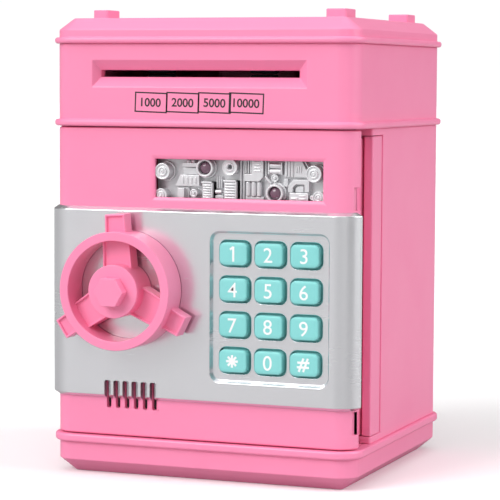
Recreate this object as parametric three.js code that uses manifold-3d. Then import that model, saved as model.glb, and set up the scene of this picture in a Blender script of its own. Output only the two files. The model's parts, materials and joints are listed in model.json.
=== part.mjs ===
// Toy safe coin bank: a moulded cabinet with a hinged front door, a keypad,
// a handwheel that throws a bolt, a powered note feeder and a coin slot.
// Millimetres, +Z up, +X to the viewer's right, the front faces -Y.
// The origin is the middle of the base's underside.
import * as THREE from 'three';
import { mergeVertices } from 'three/addons/utils/BufferGeometryUtils.js';
import Module from 'manifold-3d';

const wasm = await Module();
wasm.setup();

// ---- Driving dimensions ----------------------------------------------------
const body = { width: 128, depth: 115.5, corner: 8, wall: 2.5 };
const base = { height: 16.1, wall: 3, floor: 2.5, chamferIn: 6.7, chamferUp: 5.5, beadHeight: 3.3,
  pillarRadius: 4.2, pillarGap: 3.6, bossRadius: 3.4, bossTop: 9 };
const shell = { height: 124.1, capHeight: 2.8 };
const upper = { height: 32.8, beadHeight: 2.6 };
const roof = { beadHeight: 2.4, bandHeight: 3, slopeIn: 6.1, slopeUp: 4.7, wall: 2.4, lipDepth: 3,
  lipWall: 1.6 };
const bead = { out: 1.8, edge: 0.6 };
const roofBlock = { height: 3.4, lowHeight: 2.4, length: 12, setBack: 11.8, corner: 0.8, leftWidth: 6.3,
  leftInset: 12.4, rightWidth: 8.3, rightInset: 8.3 };
const coinSlot = { length: 32, width: 3.4, wall: 1.6, y: 6 };
const noteSlot = { centreX: -1.3, height: 20.9, outerLength: 90.8, outerHeight: 10.7, innerLength: 83.9,
  innerHeight: 2.7, innerShift: -0.8, funnelDepth: 3.4, blockDepth: 7.2, blockMargin: 3 };
const floorPanel = { thickness: 2.5 };
const deck = { thickness: 2, noteGapFront: 22, noteGapBack: 34, noteGapLength: 85 };
const door = { flange: 7.2, skin: 2.4, thickness: 21.3, wall: 2, boxLeft: 8, boxRight: 4.5, boxMargin: 3.4,
  panel: 1.8, panelInset: 1, bossRadius: 3.2, bossIn: 1.6, bossLeft: 2.4,
  bossRight: 4.4, edge: 0.5 };
const hinge = { backFromFront: 32, columnFront: 21.3, columnWidth: 3.8, edge: 0.7, edgeRadius: 2, pinRadius: 1,
  pinLength: 2.2, knuckleWidth: 7.4, knuckleDepth: 8, webDepth: 4.6, webThick: 2 };
const notch = { in: 2, back: 3.4, length: 9, fasciaGap: 0.4 };
const windowHole = { right: 11.6, width: 73.8, bottom: 94.6, height: 18.7, bevel: 1.8, bevelDepth: 0.9 };
const fascia = { bottom: 15.4, height: 77, out: 2.3, edgeUp: 1.5, wrap: 4.5 };
const keypad = { fromRight: 34.2, bottom: 24.4, width: 49.5, height: 59.6, corner: 4, recess: 2, draft: 0.8,
  tray: 1.9, columns: 3, rows: 4 };
const key = { width: 11.5, height: 8.8, corner: 2, pitchX: 14.75, pitchZ: 14, proud: 0.5, gap: 0.9,
  lip: 1.35, lipThick: 1, edge: 0.7 };
const wheel = { fromLeft: 33.8, height: 59.9, ringRadius: 23.4, ringWall: 3.6, ringFront: 15.5, ringBack: 2.6,
  hubRadius: 10.5, hubFront: 16.4, barFront: 10.8, barBack: 4.2, spokeWidth: 12.4, lugWidth: 8.8,
  lugReach: 30, taper: 1.2, lugTaper: 0.4, rim: 1.1, rimDepth: 1, sink: 0.2, restAngle: 3.5, spokes: 3 };
const cap = { acrossFlats: 10.9, height: 4.6, edge: 0.3 };
const shaft = { radius: 2.5, bossWall: 2.2, bossLength: 5, seat: 1, fasciaGap: 1.5 };
const gearing = { module: 0.8, pressure: 20, addendum: 0.56, dedendum: 0.92, backlash: 0.3, pinionTeeth: 10,
  feedTeeth: 20, face: 2.6, sideGap: 0.9, rootLand: 0.05 };
const bolt = { thickness: 5, front: 11.4, height: 8.6, inset: 0.4, rackTeeth: 7, rackRoot: 2, rail: 2.2,
  railLeft: 9, railRight: 4 };
const strike = { front: 8.6, thickness: 2.4, length: 18, gap: 1.3 };
const speaker = { radius: 13, depth: 5, rim: 1.2, magnet: 7.2 };
const grille = { count: 6, pitch: 3.95, width: 2.9, slit: 1.6, ramp: 0.9, top: 22.8, bottom: 11.4,
  firstFromLeft: 25.2 };
const board = { thickness: 1.6, front: 6.2, inset: 1 };
const membrane = { thickness: 1.2, front: 4.5, inset: 0.5, corner: 2 };
const relief = { plateFront: 7, plate: 1.4, margin: 1.4 };
const led = { radius: 2.4, length: 5.2, proud: 3 };
const cell = { radius: 7.1, length: 50.5, pitch: 14.7, count: 3, centreX: -30, centreY: 13, capRadius: 2.7,
  capLength: 1.2 };
const contact = { thickness: 0.5, gap: 0.5, inset: 1, backGap: 0.1 };
const bay = { wall: 1.6, ledge: 3, cover: 1.7, tab: 11, bossRadius: 2.9, corner: 2, gripRib: 1.2, gripPitch: 8,
  gripLength: 16, gripDepth: 0.4 };
const screw = { headRadius: 2.7, headHeight: 1.8, shankRadius: 1.3, length: 12, slotWidth: 0.7, slotReach: 0.64,
  fromEdge: 1.5 };
const coverScrew = { headRadius: 2.4, headHeight: 0.8, length: 7.6, lift: 0.1 };
const roller = { radius: 5, width: 10, spread: 44, pinchRadius: 5, back: 16.2, shaftRadius: 1.5, nip: 0.4,
  shaftEnd: 0.7 };
const motor = { radius: 5.6, length: 12, angle: 30, shaftRadius: 0.9, bell: 1.2, bellRadius: 2.5,
  bore: 4, shaftIn: 3 };
const bracket = { thickness: 1.6, length: 30, offset: 2.9, frontCut: 1.4 };
const sensor = { width: 12, height: 6, depth: 1.4, pcb: 1, eyeRadius: 1.2, eyeSpread: 3, eyeDown: 2 };
const guide = { thickness: 1.2, lip: 2.4, rollerPart: 0.2, sideGap: 1 };

// ---- Clearances ------------------------------------------------------------
const slip = 0.3; // between pieces that slide, seat or turn past each other
const fit = 0.15; // round the moulded hinge pins and small shafts
const seam = 0.4; // visible seam round the door
const press = 0.02; // round a shaft that is pressed into its wheel, gear or roller

// ---- Modelling allowances ------------------------------------------------------
const past = 1; // how far a cut runs past the face it opens
const bite = 0.5; // how far a feature sinks into the one it grows from
const far = 9; // beyond the widest bead, for boxes that trim a whole storey
const hair = 0.001; // keeps two flush faces of a cut from falling together

// ---- Levels and planes worked out from the sizes above ------------------------
const front = -body.depth / 2;
const back = body.depth / 2;
const left = -body.width / 2;
const right = body.width / 2;
const zShell = base.height;
const zUpper = zShell + shell.height;
const zRoof = zUpper + upper.height;
const zBand = zRoof + roof.beadHeight;
const zSlope = zBand + roof.bandHeight;
const zTop = zSlope + roof.slopeUp;
const doorBottom = zShell + seam;
const doorTop = zUpper - seam;
const boxBottom = doorBottom + door.boxMargin;
const boxTop = doorTop - door.boxMargin;
const boxLeft = left + door.boxLeft;
const boxRight = right - door.boxRight;
const panelFront = front + door.thickness - door.panel;
const pin = { x: right - hinge.edgeRadius, y: front + hinge.backFromFront };
const wheelX = left + wheel.fromLeft;
const wheelZ = zShell + wheel.height;
const fasciaBottom = zShell + fascia.bottom;
const fasciaTop = fasciaBottom + fascia.height;
const fasciaFront = front - fascia.out;
const keypadX = right - keypad.fromRight;
const keypadZ = zShell + keypad.bottom + keypad.height / 2;
const trayFront = fasciaFront + keypad.recess;
const trayBack = trayFront + keypad.tray;
const windowRight = right - windowHole.right;
const windowX = windowRight - windowHole.width / 2;
const windowZ = zShell + windowHole.bottom + windowHole.height / 2;
const slotZ = zUpper + noteSlot.height;
const feedY = front + roller.back;
const feedZ = slotZ - roller.nip / 2 - roller.radius;
const pinchZ = slotZ + roller.nip / 2 + roller.pinchRadius;
const deckTop = zUpper + deck.thickness;

// ---- Geometry helpers --------------------------------------------------------
const toSolid = (geometry) => {
  const bare = geometry.clone();
  bare.deleteAttribute('normal');
  bare.deleteAttribute('uv');
  const merged = mergeVertices(bare, 1e-4);
  const vertProperties = new Float32Array(merged.attributes.position.array);
  const triVerts = new Uint32Array(merged.index.array);
  return new wasm.Manifold(new wasm.Mesh({ numProp: 3, vertProperties, triVerts }));
};

const toGeometry = (solid) => {
  const mesh = solid.getMesh();
  const geometry = new THREE.BufferGeometry();
  geometry.setAttribute('position', new THREE.BufferAttribute(new Float32Array(mesh.vertProperties), 3));
  geometry.setIndex(new THREE.BufferAttribute(new Uint32Array(mesh.triVerts), 1));
  geometry.computeVertexNormals();
  return geometry;
};

const unite = (solids) => solids.reduce((whole, next) => whole.add(next));

const cut = (solid, ...tools) => tools.reduce((rest, tool) => rest.subtract(tool), solid);

// A rectangle between two corners, with round corners where a radius is given.
const rectangle = (x0, x1, y0, y1, radius = 0) => {
  const shape = new THREE.Shape();
  if (radius <= 0) {
    shape.moveTo(x0, y0).lineTo(x1, y0).lineTo(x1, y1).lineTo(x0, y1).closePath();
    return shape;
  }
  shape.moveTo(x0 + radius, y0);
  shape.lineTo(x1 - radius, y0).absarc(x1 - radius, y0 + radius, radius, -Math.PI / 2, 0, false);
  shape.lineTo(x1, y1 - radius).absarc(x1 - radius, y1 - radius, radius, 0, Math.PI / 2, false);
  shape.lineTo(x0 + radius, y1).absarc(x0 + radius, y1 - radius, radius, Math.PI / 2, Math.PI, false);
  shape.lineTo(x0, y0 + radius).absarc(x0 + radius, y0 + radius, radius, Math.PI, Math.PI * 1.5, false);
  return shape;
};

const centredRectangle = (x, y, width, height, radius = 0) =>
  rectangle(x - width / 2, x + width / 2, y - height / 2, y + height / 2, radius);

// The body's outline seen from above, grown outwards by a distance.
const outline = (grow = 0) =>
  rectangle(left - grow, right + grow, front - grow, back + grow, Math.max(body.corner + grow, 0.5));

const polygon = (points) => new THREE.Shape(points.map(([x, y]) => new THREE.Vector2(x, y)));

// An extrusion from z = 0 up, with its end faces drawn in by a chamfer where one is given.
const extrude = (shape, length, chamfer = { in: 0, along: 0 }, curveSegments = 3) => {
  const geometry = new THREE.ExtrudeGeometry(shape, {
    depth: length - 2 * chamfer.along,
    bevelEnabled: chamfer.in > 0,
    bevelThickness: chamfer.along,
    bevelSize: chamfer.in,
    bevelOffset: -chamfer.in,
    bevelSegments: 1,
    curveSegments,
  });
  return geometry.translate(0, 0, chamfer.in > 0 ? chamfer.along : 0);
};

const prismZ = (shape, z0, z1, chamfer, curveSegments) =>
  toSolid(extrude(shape, z1 - z0, chamfer, curveSegments).translate(0, 0, z0));

// The shape's x and y become X and Z, and it runs from the plane y0 back to y1.
const prismY = (shape, y0, y1, chamfer, curveSegments) =>
  toSolid(extrude(shape, y1 - y0, chamfer, curveSegments).rotateX(Math.PI / 2).translate(0, y1, 0));

const ontoX = new THREE.Matrix4().makeBasis(
  new THREE.Vector3(0, 1, 0),
  new THREE.Vector3(0, 0, 1),
  new THREE.Vector3(1, 0, 0),
);

// The shape's x and y become Y and Z, and it runs from x0 to x1.
const prismX = (shape, x0, x1, chamfer, curveSegments) =>
  toSolid(extrude(shape, x1 - x0, chamfer, curveSegments).applyMatrix4(ontoX).translate(x0, 0, 0));

const box = (x0, x1, y0, y1, z0, z1) => {
  const geometry = new THREE.BoxGeometry(x1 - x0, y1 - y0, z1 - z0);
  return toSolid(geometry.translate((x0 + x1) / 2, (y0 + y1) / 2, (z0 + z1) / 2));
};

const rod = (radius, length, sides) => new THREE.CylinderGeometry(radius, radius, length, sides);

const rodX = (radius, x0, x1, y, z, sides = 16) =>
  toSolid(rod(radius, x1 - x0, sides).rotateZ(Math.PI / 2).translate((x0 + x1) / 2, y, z));

const rodY = (radius, y0, y1, x, z, sides = 16) =>
  toSolid(rod(radius, y1 - y0, sides).translate(x, (y0 + y1) / 2, z));

const rodZ = (radius, z0, z1, x, y, sides = 16) =>
  toSolid(rod(radius, z1 - z0, sides).rotateX(Math.PI / 2).translate(x, y, (z0 + z1) / 2));

// A ring or disc turned about the Y axis, from (radius, y) points round its section.
const turnY = (points, sides = 32) => {
  const profile = points.map(([radius, y]) => new THREE.Vector2(radius, y));
  return toSolid(new THREE.LatheGeometry([...profile, profile[0].clone()], sides));
};

const degrees = Math.PI / 180;

// The outline of an involute gear with its first tooth on the angle given.
const gearShape = (teeth, firstTooth) => {
  const pitchRadius = (gearing.module * teeth) / 2;
  const baseRadius = pitchRadius * Math.cos(gearing.pressure * degrees);
  const rootRadius = pitchRadius - gearing.dedendum;
  const tipRadius = pitchRadius + gearing.addendum;
  const involute = (angle) => Math.tan(angle) - angle;
  const halfTooth = Math.PI / (2 * teeth) - gearing.backlash / 2 / pitchRadius;
  const halfAt = (radius) => {
    const angle = Math.acos(Math.min(1, baseRadius / radius));
    return halfTooth + involute(gearing.pressure * degrees) - involute(angle);
  };
  const flank = [rootRadius, Math.max(baseRadius, rootRadius + gearing.rootLand), pitchRadius, tipRadius];
  const points = [];
  for (let tooth = 0; tooth < teeth; tooth += 1) {
    const middle = firstTooth + (tooth * 2 * Math.PI) / teeth;
    const side = (radius, sign) => {
      const angle = middle + sign * halfAt(radius);
      points.push([radius * Math.cos(angle), radius * Math.sin(angle)]);
    };
    flank.forEach((radius) => side(radius, -1));
    flank.slice().reverse().forEach((radius) => side(radius, 1));
  }
  return polygon(points);
};

// ---- Materials -----------------------------------------------------------------
const material = (color, roughness, metalness = 0) =>
  new THREE.MeshStandardMaterial({ color, roughness, metalness });

const looks = {
  pink: material(0xff9ec2, 0.35),
  pinkInner: material(0xf58bb4, 0.5),
  silver: material(0xcacbd0, 0.35, 0.6),
  teal: material(0x6fdccb, 0.45),
  steel: material(0xb8bcc2, 0.3, 1),
  white: material(0xf0f0ec, 0.5),
  rubber: material(0x35363a, 0.85),
  board: material(0x2f6b45, 0.55),
  black: material(0x1c1c20, 0.6),
  lens: material(0x4b2a5e, 0.2),
  cell: material(0x3b6fae, 0.35, 0.3),
};

const piece = (name, solid, look, position = [0, 0, 0]) => {
  const mesh = new THREE.Mesh(toGeometry(solid), look);
  mesh.name = name;
  mesh.position.set(...position);
  return mesh;
};

const group = (...children) => {
  const whole = new THREE.Group();
  whole.add(...children.flat());
  return whole;
};

// A pan-head screw standing on its head, threaded end up.
const screwSolid = (length, headRadius = screw.headRadius, headHeight = screw.headHeight) => {
  const head = rodZ(headRadius, 0, headHeight, 0, 0, 14);
  const shank = rodZ(screw.shankRadius, headHeight / 2, length, 0, 0, 10);
  const arm = headRadius * screw.slotReach;
  const deep = headHeight / 2;
  const half = screw.slotWidth / 2;
  const crossed = [box(-arm, arm, -half, half, -past, deep), box(-half, half, -arm, arm, -past, deep)];
  return cut(head.add(shank), ...crossed);
};

// ---- Base, with its battery bay ---------------------------------------------------
const bayLength = cell.length + 2 * (contact.thickness + contact.gap) + cell.capLength;
const bayInner = {
  x0: cell.centreX - (cell.count * cell.pitch) / 2 - slip,
  x1: cell.centreX + (cell.count * cell.pitch) / 2 + slip,
  y0: cell.centreY - bayLength / 2,
  y1: cell.centreY + bayLength / 2,
};
const coverTop = bay.cover + slip / 2;
const cellZ = coverTop + slip + cell.radius;
const humpTop = cellZ + cell.radius + slip + bay.wall;
const bayScrew = { x: cell.centreX, y: bayInner.y0 - bay.tab / 2 };
const caseScrews = [-1, 1].flatMap((sideX) => [-1, 1].map((sideY) => ({
  x: sideX * (right - base.chamferIn - screw.headRadius - screw.fromEdge),
  y: sideY * (back - base.chamferIn - screw.headRadius - screw.fromEdge),
})));
const boardLevel = base.height - floorPanel.thickness;
const pillarTop = boardLevel - base.pillarGap;
const screwLength = Math.min(screw.length, boardLevel - 0.6);

const makeBaseTray = () => {
  const chamfer = { in: base.chamferIn, along: base.chamferUp };
  const footed = prismZ(outline(), 0, 2 * base.height, chamfer);
  const lower = footed.intersect(box(left - far, right + far, front - far, back + far, 0, base.height));
  const rim = prismZ(outline(bead.out), base.height - base.beadHeight, base.height,
    { in: bead.edge, along: bead.edge });
  const deepHollow = prismZ(outline(-base.chamferIn - base.wall / 2), base.floor, base.height + past);
  const wideHollow = prismZ(outline(-base.wall), base.chamferUp + 1, base.height + past);
  const tray = cut(lower.add(rim), deepHollow, wideHollow);
  const coverSeat = prismZ(
    rectangle(bayInner.x0 - bay.ledge, bayInner.x1 + bay.ledge,
      bayInner.y0 - bay.tab, bayInner.y1 + bay.ledge, bay.corner),
    -past, coverTop);
  const throughBay = box(bayInner.x0, bayInner.x1, bayInner.y0, bayInner.y1, -past, base.floor + past);
  const screwBoss = rodZ(bay.bossRadius, coverTop, base.bossTop, bayScrew.x, bayScrew.y);
  const screwHole = rodZ(screw.shankRadius + fit, -past, coverScrew.length + past, bayScrew.x, bayScrew.y, 12);
  const pillars = caseScrews.map(({ x, y }) => rodZ(base.pillarRadius, base.floor - bite, pillarTop, x, y));
  const counterbores = caseScrews.map(({ x, y }) =>
    rodZ(screw.headRadius + slip, -past, screw.headHeight + 2 * slip, x, y));
  const pillarHoles = caseScrews.map(({ x, y }) => rodZ(screw.shankRadius + slip, past, base.height, x, y, 12));
  const seated = cut(tray, coverSeat, throughBay).add(screwBoss);
  return cut(unite([seated, ...pillars]), screwHole, ...counterbores, ...pillarHoles);
};

const makeBatteryCover = () => {
  const lid = prismZ(
    rectangle(bayInner.x0 - bay.ledge + slip, bayInner.x1 + bay.ledge - slip,
      bayInner.y0 - bay.tab + slip, bayInner.y1 + bay.ledge - slip, bay.corner - slip),
    fit, bay.cover);
  const grips = [-1, 0, 1].map((step) => {
    const x = cell.centreX + step * bay.gripPitch;
    return box(x - bay.gripRib / 2, x + bay.gripRib / 2,
      cell.centreY - bay.gripLength / 2, cell.centreY + bay.gripLength / 2, 0, fit + bay.gripDepth);
  });
  const headRoom = rodZ(coverScrew.headRadius + slip, -past, coverScrew.headHeight + fit,
    bayScrew.x, bayScrew.y);
  const hole = rodZ(screw.shankRadius + slip, -past, bay.cover + past, bayScrew.x, bayScrew.y, 12);
  return cut(lid, ...grips, headRoom, hole);
};

const makeFloorPanel = () => {
  const plate = prismZ(outline(-base.wall - slip), boardLevel, base.height);
  const hump = prismZ(
    rectangle(bayInner.x0 - bay.wall, bayInner.x1 + bay.wall, bayInner.y0 - bay.wall,
      bayInner.y1 + bay.wall, bay.ledge),
    base.floor + slip, humpTop);
  const hollow = box(bayInner.x0, bayInner.x1, bayInner.y0, bayInner.y1, 0, humpTop - bay.wall);
  const bosses = caseScrews.map(({ x, y }) => rodZ(base.bossRadius, pillarTop + slip, boardLevel + bite, x, y));
  const bossHoles = caseScrews.map(({ x, y }) =>
    rodZ(screw.shankRadius + fit, 0, screwLength + past, x, y, 12));
  return cut(unite([plate, hump, ...bosses]), hollow, ...bossHoles);
};

const makeCell = () => {
  const halfLength = cell.length / 2;
  const can = rodY(cell.radius, -halfLength, halfLength - cell.capLength, 0, 0, 20);
  const nub = rodY(cell.capRadius, halfLength - cell.capLength - bite, halfLength, 0, 0, 10);
  return can.add(nub);
};

const makeContact = () => {
  const widthX = bayInner.x1 - bayInner.x0 - 2 * slip;
  const low = cellZ - cell.radius + contact.inset;
  const high = cellZ + cell.radius - contact.inset;
  return box(-widthX / 2, widthX / 2, -contact.thickness / 2, contact.thickness / 2, low, high);
};

const cells = Array.from({ length: cell.count }, (_, index) => {
  const x = cell.centreX + (index - (cell.count - 1) / 2) * cell.pitch;
  const mesh = piece(`battery_cell_${index + 1}`, makeCell(), looks.cell, [x, cell.centreY, cellZ]);
  mesh.rotation.z = index % 2 === 0 ? 0 : Math.PI;
  return mesh;
});

const contacts = [['front', -1], ['rear', 1]].map(([end, side]) => {
  const y = cell.centreY + side * (bayLength / 2 - contact.thickness / 2 - contact.backGap);
  return piece(`battery_contact_${end}`, makeContact(), looks.steel, [cell.centreX, y, 0]);
});

const baseGroup = group(
  piece('base_tray', makeBaseTray(), looks.pink),
  piece('battery_cover', makeBatteryCover(), looks.pink),
  piece('battery_cover_screw', screwSolid(coverScrew.length, coverScrew.headRadius, coverScrew.headHeight),
    looks.steel, [bayScrew.x, bayScrew.y, coverScrew.lift]),
  piece('floor_panel', makeFloorPanel(), looks.pinkInner),
  cells,
  contacts,
  caseScrews.map(({ x, y }, index) =>
    piece(`case_screw_${index + 1}`, screwSolid(screwLength), looks.steel, [x, y, slip])),
);

// ---- Main shell: left, back and right walls, with the hinge knuckles -------------------
const wallFront = pin.y + hinge.edgeRadius + slip;
const pinionRadius = (gearing.module * gearing.pinionTeeth) / 2;
const strikeTop = wheelZ - pinionRadius + gearing.addendum + bite;

const makeMainShell = () => {
  const ring = cut(prismZ(outline(), zShell, zUpper),
    prismZ(outline(-body.wall), zShell - past, zUpper + past));
  const doorway = box(left - past, right, front - past, front + door.flange + seam + fit,
    zShell - past, zUpper + past);
  const hingeSide = box(0, right + past, front - past, wallFront, zShell - past, zUpper + past);
  const walls = cut(ring, doorway, hingeSide);
  const knuckle = (z0, z1) => {
    const plan = rectangle(right - hinge.knuckleWidth, right, front + hinge.columnFront,
      wallFront + hinge.knuckleDepth, hinge.edgeRadius / 2);
    return cut(prismZ(plan, z0, z1), rodZ(hinge.pinRadius + fit, z0 - past, z1 + past, pin.x, pin.y, 12));
  };
  const strikeRib = box(left + body.wall - bite, boxLeft - strike.gap, front + strike.front,
    front + strike.front + strike.thickness, strikeTop - strike.length, strikeTop);
  const knuckles = [knuckle(zShell, zShell + shell.capHeight), knuckle(zUpper - shell.capHeight, zUpper)];
  return unite([walls, ...knuckles, strikeRib]);
};

// ---- Upper case with the note slot, its deck and the roof -------------------------------
const makeUpperCase = () => {
  const ring = cut(prismZ(outline(), zUpper, zRoof), prismZ(outline(-body.wall), zUpper - past, zRoof + past));
  const lowerBead = cut(
    prismZ(outline(bead.out), zUpper, zUpper + upper.beadHeight, { in: bead.edge, along: bead.edge }),
    prismZ(outline(-body.wall), zUpper - past, zRoof + past));
  const halfLength = noteSlot.outerLength / 2 + noteSlot.blockMargin;
  const halfHeight = noteSlot.outerHeight / 2 + noteSlot.blockMargin;
  const block = box(noteSlot.centreX - halfLength, noteSlot.centreX + halfLength,
    front + bite, front + noteSlot.blockDepth, slotZ - halfHeight, slotZ + halfHeight);
  const slit = prismY(
    centredRectangle(noteSlot.centreX + noteSlot.innerShift, slotZ, noteSlot.innerLength, noteSlot.innerHeight),
    front - past, front + noteSlot.blockDepth + past);
  return cut(unite([ring, lowerBead, block]), slit, makeFunnel(noteSlot));
};

// A four-sided funnel that narrows from its mouth in the front face to the slit.
const makeFunnel = (slot) => {
  const mouth = [slot.centreX, slot.outerLength / 2, slot.outerHeight / 2];
  const throat = [slot.centreX + slot.innerShift, slot.innerLength / 2, slot.innerHeight / 2];
  const grown = past / slot.funnelDepth;
  const before = mouth.map((value, index) => value + (value - throat[index]) * grown);
  const geometry = new THREE.BoxGeometry(2, 2, 2);
  const place = geometry.attributes.position;
  for (let index = 0; index < place.count; index += 1) {
    const atFront = place.getY(index) < 0;
    const [middle, halfX, halfZ] = atFront ? before : throat;
    place.setX(index, middle + place.getX(index) * halfX);
    place.setZ(index, slotZ + place.getZ(index) * halfZ);
    place.setY(index, atFront ? front - past : front + slot.funnelDepth);
  }
  return toSolid(geometry);
};

const bracketX = [1, -1].map((side) => noteSlot.centreX + side * (roller.spread + bracket.offset));
const gearX0 = bracketX[0] - gearing.face - gearing.sideGap;

const motorPlace = () => {
  const reach = (gearing.module * (gearing.feedTeeth + gearing.pinionTeeth)) / 2;
  return {
    y: feedY + reach * Math.cos(motor.angle * degrees),
    z: feedZ + reach * Math.sin(motor.angle * degrees),
  };
};
const motorAt = motorPlace();

const makeMidDeck = () => {
  const plate = prismZ(outline(-body.wall - slip), zUpper, deckTop);
  const noteGap = box(noteSlot.centreX - deck.noteGapLength / 2, noteSlot.centreX + deck.noteGapLength / 2,
    front + deck.noteGapFront, front + deck.noteGapBack, zUpper - past, deckTop + past);
  const coinGap = box(-coinSlot.length / 2 - slip, coinSlot.length / 2 + slip,
    coinSlot.y - coinSlot.width / 2 - slip, coinSlot.y + coinSlot.width / 2 + slip,
    zUpper - past, deckTop + past);
  const bracketTop = pinchZ + roller.pinchRadius;
  const brackets = bracketX.map((x) => {
    const y0 = feedY - roller.radius + bracket.frontCut;
    const y1 = x > 0 ? y0 + bracket.length : y0 + roller.radius * 2;
    return box(x, x + bracket.thickness, y0, y1, deckTop - bite, bracketTop);
  });
  const across = [bracketX[1] - past, bracketX[0] + bracket.thickness + past];
  const bearings = [
    rodX(roller.shaftRadius + fit, ...across, feedY, feedZ, 14),
    rodX(roller.shaftRadius + fit, ...across, feedY, pinchZ, 14),
    rodX(motor.shaftRadius + slip, bracketX[0] - past, across[1], motorAt.y, motorAt.z, 12),
  ];
  const frame = unite([cut(plate, noteGap, coinGap), ...brackets]);
  return cut(frame, ...bearings);
};

const makeRoof = () => {
  const slope = { in: roof.slopeIn, along: roof.slopeUp };
  const tall = zTop - zRoof;
  const hull = prismZ(outline(), zTop - 2 * tall, zTop, slope);
  const upperHalf = hull.intersect(box(left - far, right + far, front - far, back + far, zRoof, zTop));
  const rim = prismZ(outline(bead.out), zRoof, zBand, { in: bead.edge, along: bead.edge });
  const lip = prismZ(outline(-body.wall - slip), zRoof - roof.lipDepth, zRoof + past);
  const leftX = left + roofBlock.leftInset;
  const rightX = right - roofBlock.rightInset - roofBlock.rightWidth;
  const frontY = front + roofBlock.setBack;
  const backY = back - roofBlock.setBack - roofBlock.length;
  const blocks = [
    [leftX, roofBlock.leftWidth, frontY, roofBlock.height],
    [rightX, roofBlock.rightWidth, frontY, roofBlock.height],
    [leftX, roofBlock.leftWidth, backY, roofBlock.lowHeight],
    [rightX, roofBlock.rightWidth, backY, roofBlock.height],
  ].map(([x, width, y, height]) => prismZ(
    rectangle(x, x + width, y, y + roofBlock.length, roofBlock.corner),
    zTop - roof.wall / 2, zTop + height));
  const slotShape = (grow) => centredRectangle(0, coinSlot.y, coinSlot.length + 2 * grow,
    coinSlot.width + 2 * grow, coinSlot.width / 2 + grow - hair);
  const chute = prismZ(slotShape(coinSlot.wall), deckTop + slip, zTop - bite);
  const hollowLow = prismZ(outline(-body.wall - slip - roof.lipWall), zRoof - roof.lipDepth - past, zSlope - 1);
  const hollowHigh = prismZ(outline(-roof.slopeIn - 1), zSlope - 2, zTop - roof.wall);
  const shellOnly = cut(unite([upperHalf, rim, lip]), hollowLow, hollowHigh);
  return cut(unite([shellOnly, chute, ...blocks]), prismZ(slotShape(0), 0, zTop + past));
};

const makeNoteGuide = () => {
  const top = slotZ - noteSlot.innerHeight / 2 - slip;
  const y0 = front + noteSlot.blockDepth + slip;
  const y1 = feedY + roller.radius * guide.rollerPart;
  const halfLength = roller.spread / 2 - roller.width / 2 - guide.sideGap;
  const legFront = y0 + sensor.depth + slip;
  const lip = box(-halfLength, halfLength, legFront, y1 - guide.lip, top - guide.thickness, top);
  const leg = box(-halfLength, halfLength, legFront, legFront + guide.thickness, deckTop, top);
  return lip.add(leg).translate([noteSlot.centreX, 0, 0]);
};

const makeNoteSensor = () => {
  const y0 = front + noteSlot.blockDepth;
  const top = slotZ - noteSlot.innerHeight / 2 - slip;
  const backing = box(-sensor.width / 2, sensor.width / 2, y0, y0 + sensor.pcb, top - sensor.height, top);
  const eyes = [-1, 1].map((side) => rodY(sensor.eyeRadius, y0, y0 + sensor.depth,
    side * sensor.eyeSpread, top - sensor.eyeDown, 12));
  return unite([backing, ...eyes]).translate([noteSlot.centreX, 0, 0]);
};

const makeMotor = () => {
  const x0 = bracketX[0] + bracket.thickness;
  const can = rodX(motor.radius, x0, x0 + motor.length - motor.bell, motorAt.y, motorAt.z, 22);
  const endBell = rodX(motor.bellRadius, x0 + motor.bore, x0 + motor.length, motorAt.y, motorAt.z, 14);
  const bore = rodX(motor.shaftRadius + slip, x0 - past, x0 + motor.bore, motorAt.y, motorAt.z, 12);
  return cut(can.add(endBell), bore);
};

const cabinet = group(
  baseGroup,
  piece('main_shell', makeMainShell(), looks.pink),
  piece('upper_case', makeUpperCase(), looks.pink),
  piece('mid_deck', makeMidDeck(), looks.pinkInner),
  piece('roof_cover', makeRoof(), looks.pink),
  piece('note_guide', makeNoteGuide(), looks.black),
  piece('note_sensor', makeNoteSensor(), looks.black),
  piece('feed_motor', makeMotor(), looks.steel),
);

// ---- Note feed: driven shaft, its rollers and gear, the motor pinion, the idler -------------
const feedEnds = [bracketX[1] - roller.shaftEnd, bracketX[0] + bracket.thickness + roller.shaftEnd];

const makeRoller = (radius) => cut(
  rodX(radius, -roller.width / 2, roller.width / 2, 0, 0, 20),
  rodX(roller.shaftRadius + press, -roller.width, roller.width, 0, 0, 12),
);

const makeFeedGear = () => cut(
  prismX(gearShape(gearing.feedTeeth, motor.angle * degrees), 0, gearing.face),
  rodX(roller.shaftRadius + press, -past, gearing.face + past, 0, 0, 12),
);

const makeMotorPinion = () => {
  const facing = (motor.angle + 180 + 180 / gearing.pinionTeeth) * degrees;
  const toothed = prismX(gearShape(gearing.pinionTeeth, facing), 0, gearing.face);
  return toothed.add(rodX(motor.shaftRadius, gearing.face - bite,
    bracketX[0] - gearX0 + bracket.thickness + motor.shaftIn, 0, 0, 12));
};

const rollerX = [-roller.spread / 2, roller.spread / 2].map((x) => x + noteSlot.centreX);
const feed = group(
  piece('feed_shaft', rodX(roller.shaftRadius, ...feedEnds, feedY, feedZ, 12), looks.steel),
  rollerX.map((x, index) => piece(`feed_roller_${index + 1}`, makeRoller(roller.radius), looks.rubber,
    [x, feedY, feedZ])),
  piece('feed_gear', makeFeedGear(), looks.white, [gearX0, feedY, feedZ]),
  piece('motor_pinion', makeMotorPinion(), looks.white, [gearX0, motorAt.y, motorAt.z]),
  piece('pinch_shaft', rodX(roller.shaftRadius, ...feedEnds, feedY, pinchZ, 12), looks.steel),
  rollerX.map((x, index) => piece(`pinch_roller_${index + 1}`, makeRoller(roller.pinchRadius), looks.rubber,
    [x, feedY, pinchZ])),
);

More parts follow.
